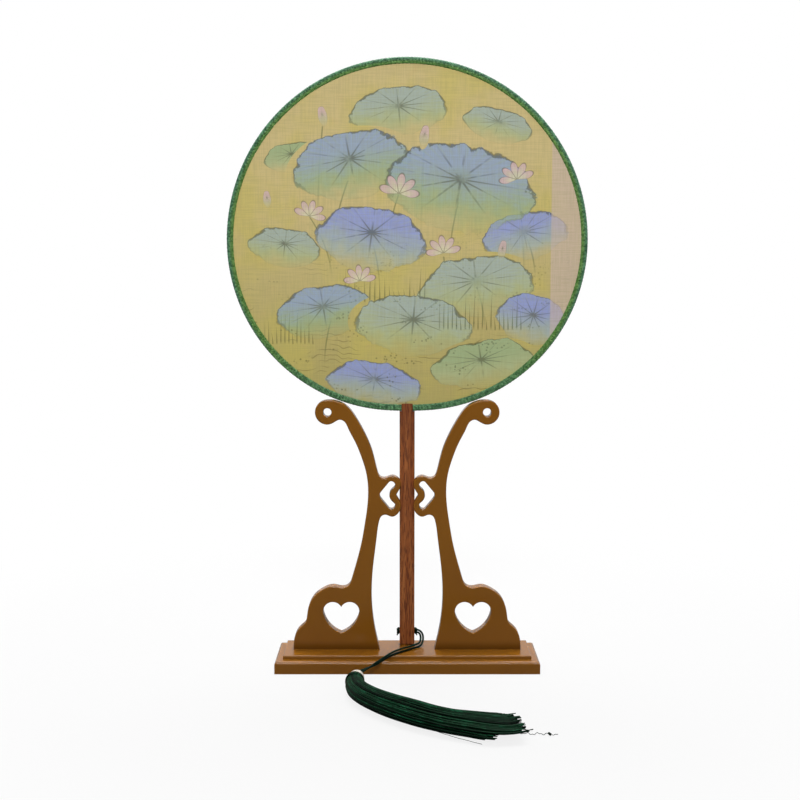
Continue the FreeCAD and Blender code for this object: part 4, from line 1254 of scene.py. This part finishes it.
def make_world():
    """White for the camera; for light and gloss, bright behind the object and dimmer in front of it."""
    world = bpy.data.worlds.new("studio")
    world.use_nodes = True
    tree = world.node_tree
    tree.nodes.clear()
    rays = add(tree, "LightPath").outputs
    way = add(tree, "TexCoord").outputs["Generated"]
    behind = add(tree, "SeparateXYZ", way).outputs["Y"]
    shiny = add(tree, "Math", rays["Is Glossy Ray"], rays["Is Transmission Ray"], operation="MAXIMUM")
    gloss = add(tree, "MapRange", behind, -0.2, 0.5, 0.05, 0.85, **SOFTLY)
    light = add(tree, "MapRange", behind, -0.6, 0.6, 0.3, 0.5, **SOFTLY)
    strength = add(tree, "Mix", shiny, light, gloss)
    strength = add(tree, "Mix", rays["Is Camera Ray"], strength, 1.0)
    sky = add(tree, "Background", {"Color": (1, 1, 1, 1), "Strength": strength})
    add(tree, "OutputWorld", {"Surface": sky})
    bpy.context.scene.world = world
    bpy.context.scene.view_settings.view_transform = "Standard"


def add_lamp(name, place, target, size, power, spread=math.pi):
    lamp = bpy.data.lights.new(name, "AREA")
    lamp.size = size
    lamp.energy = power
    lamp.spread = spread
    holder = bpy.data.objects.new(name, lamp)
    holder.location = place
    holder.rotation_euler = (Vector(target) - Vector(place)).to_track_quat("-Z", "Y").to_euler()
    bpy.context.scene.collection.objects.link(holder)


# ---------------------------------------------------------------- dressing
def dress(node, material):
    """Gives a CAD node's object its material."""
    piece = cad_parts[node]
    piece.data.materials.clear()
    piece.data.materials.append(material)


make_camera()
make_floor()
make_world()
add_lamp("top_light", (0.0, 0.5, 2.6), (0, 0, 0.1), 2.0, 98)
add_lamp("silk_light", (0.0, -1.1, 1.15), (0, 0, 0.40), 0.7, 1.15, math.radians(28))

cord_thread = tassel_rayon("twisted_rayon_cord", "04180F", "0E3024", "1C4636")
cord, cord_line = make_cord(cord_thread)

lacquer = sprayed_lacquer()
for board in ("base", "upright_left", "upright_right"):
    dress(board, lacquer)
dress("handle", varnished_handle())
dress("rim_hoop", split_bamboo())
zinc = zinc_plate()
for screws in ("screws_left", "screws_right"):
    dress(screws, zinc)
dress("tassel_bead", pale_glaze())
threads = tassel_rayon("rayon_tassel_threads", "020B06", "0D3821", "1C563B")
dress("tassel_core", threads)
knots = [make_knot("cord_knot_left", -1, cord_thread), make_knot("cord_knot_right", 1, cord_thread)]
cap = make_cap(threads)
make_skirt(threads)

make_silk("silk_front", -1, silk_print("printed_silk_gauze", 1.0))
make_silk("silk_back", 1, silk_print("silk_gauze_lining", 0.55))
make_braid(braided_rayon())
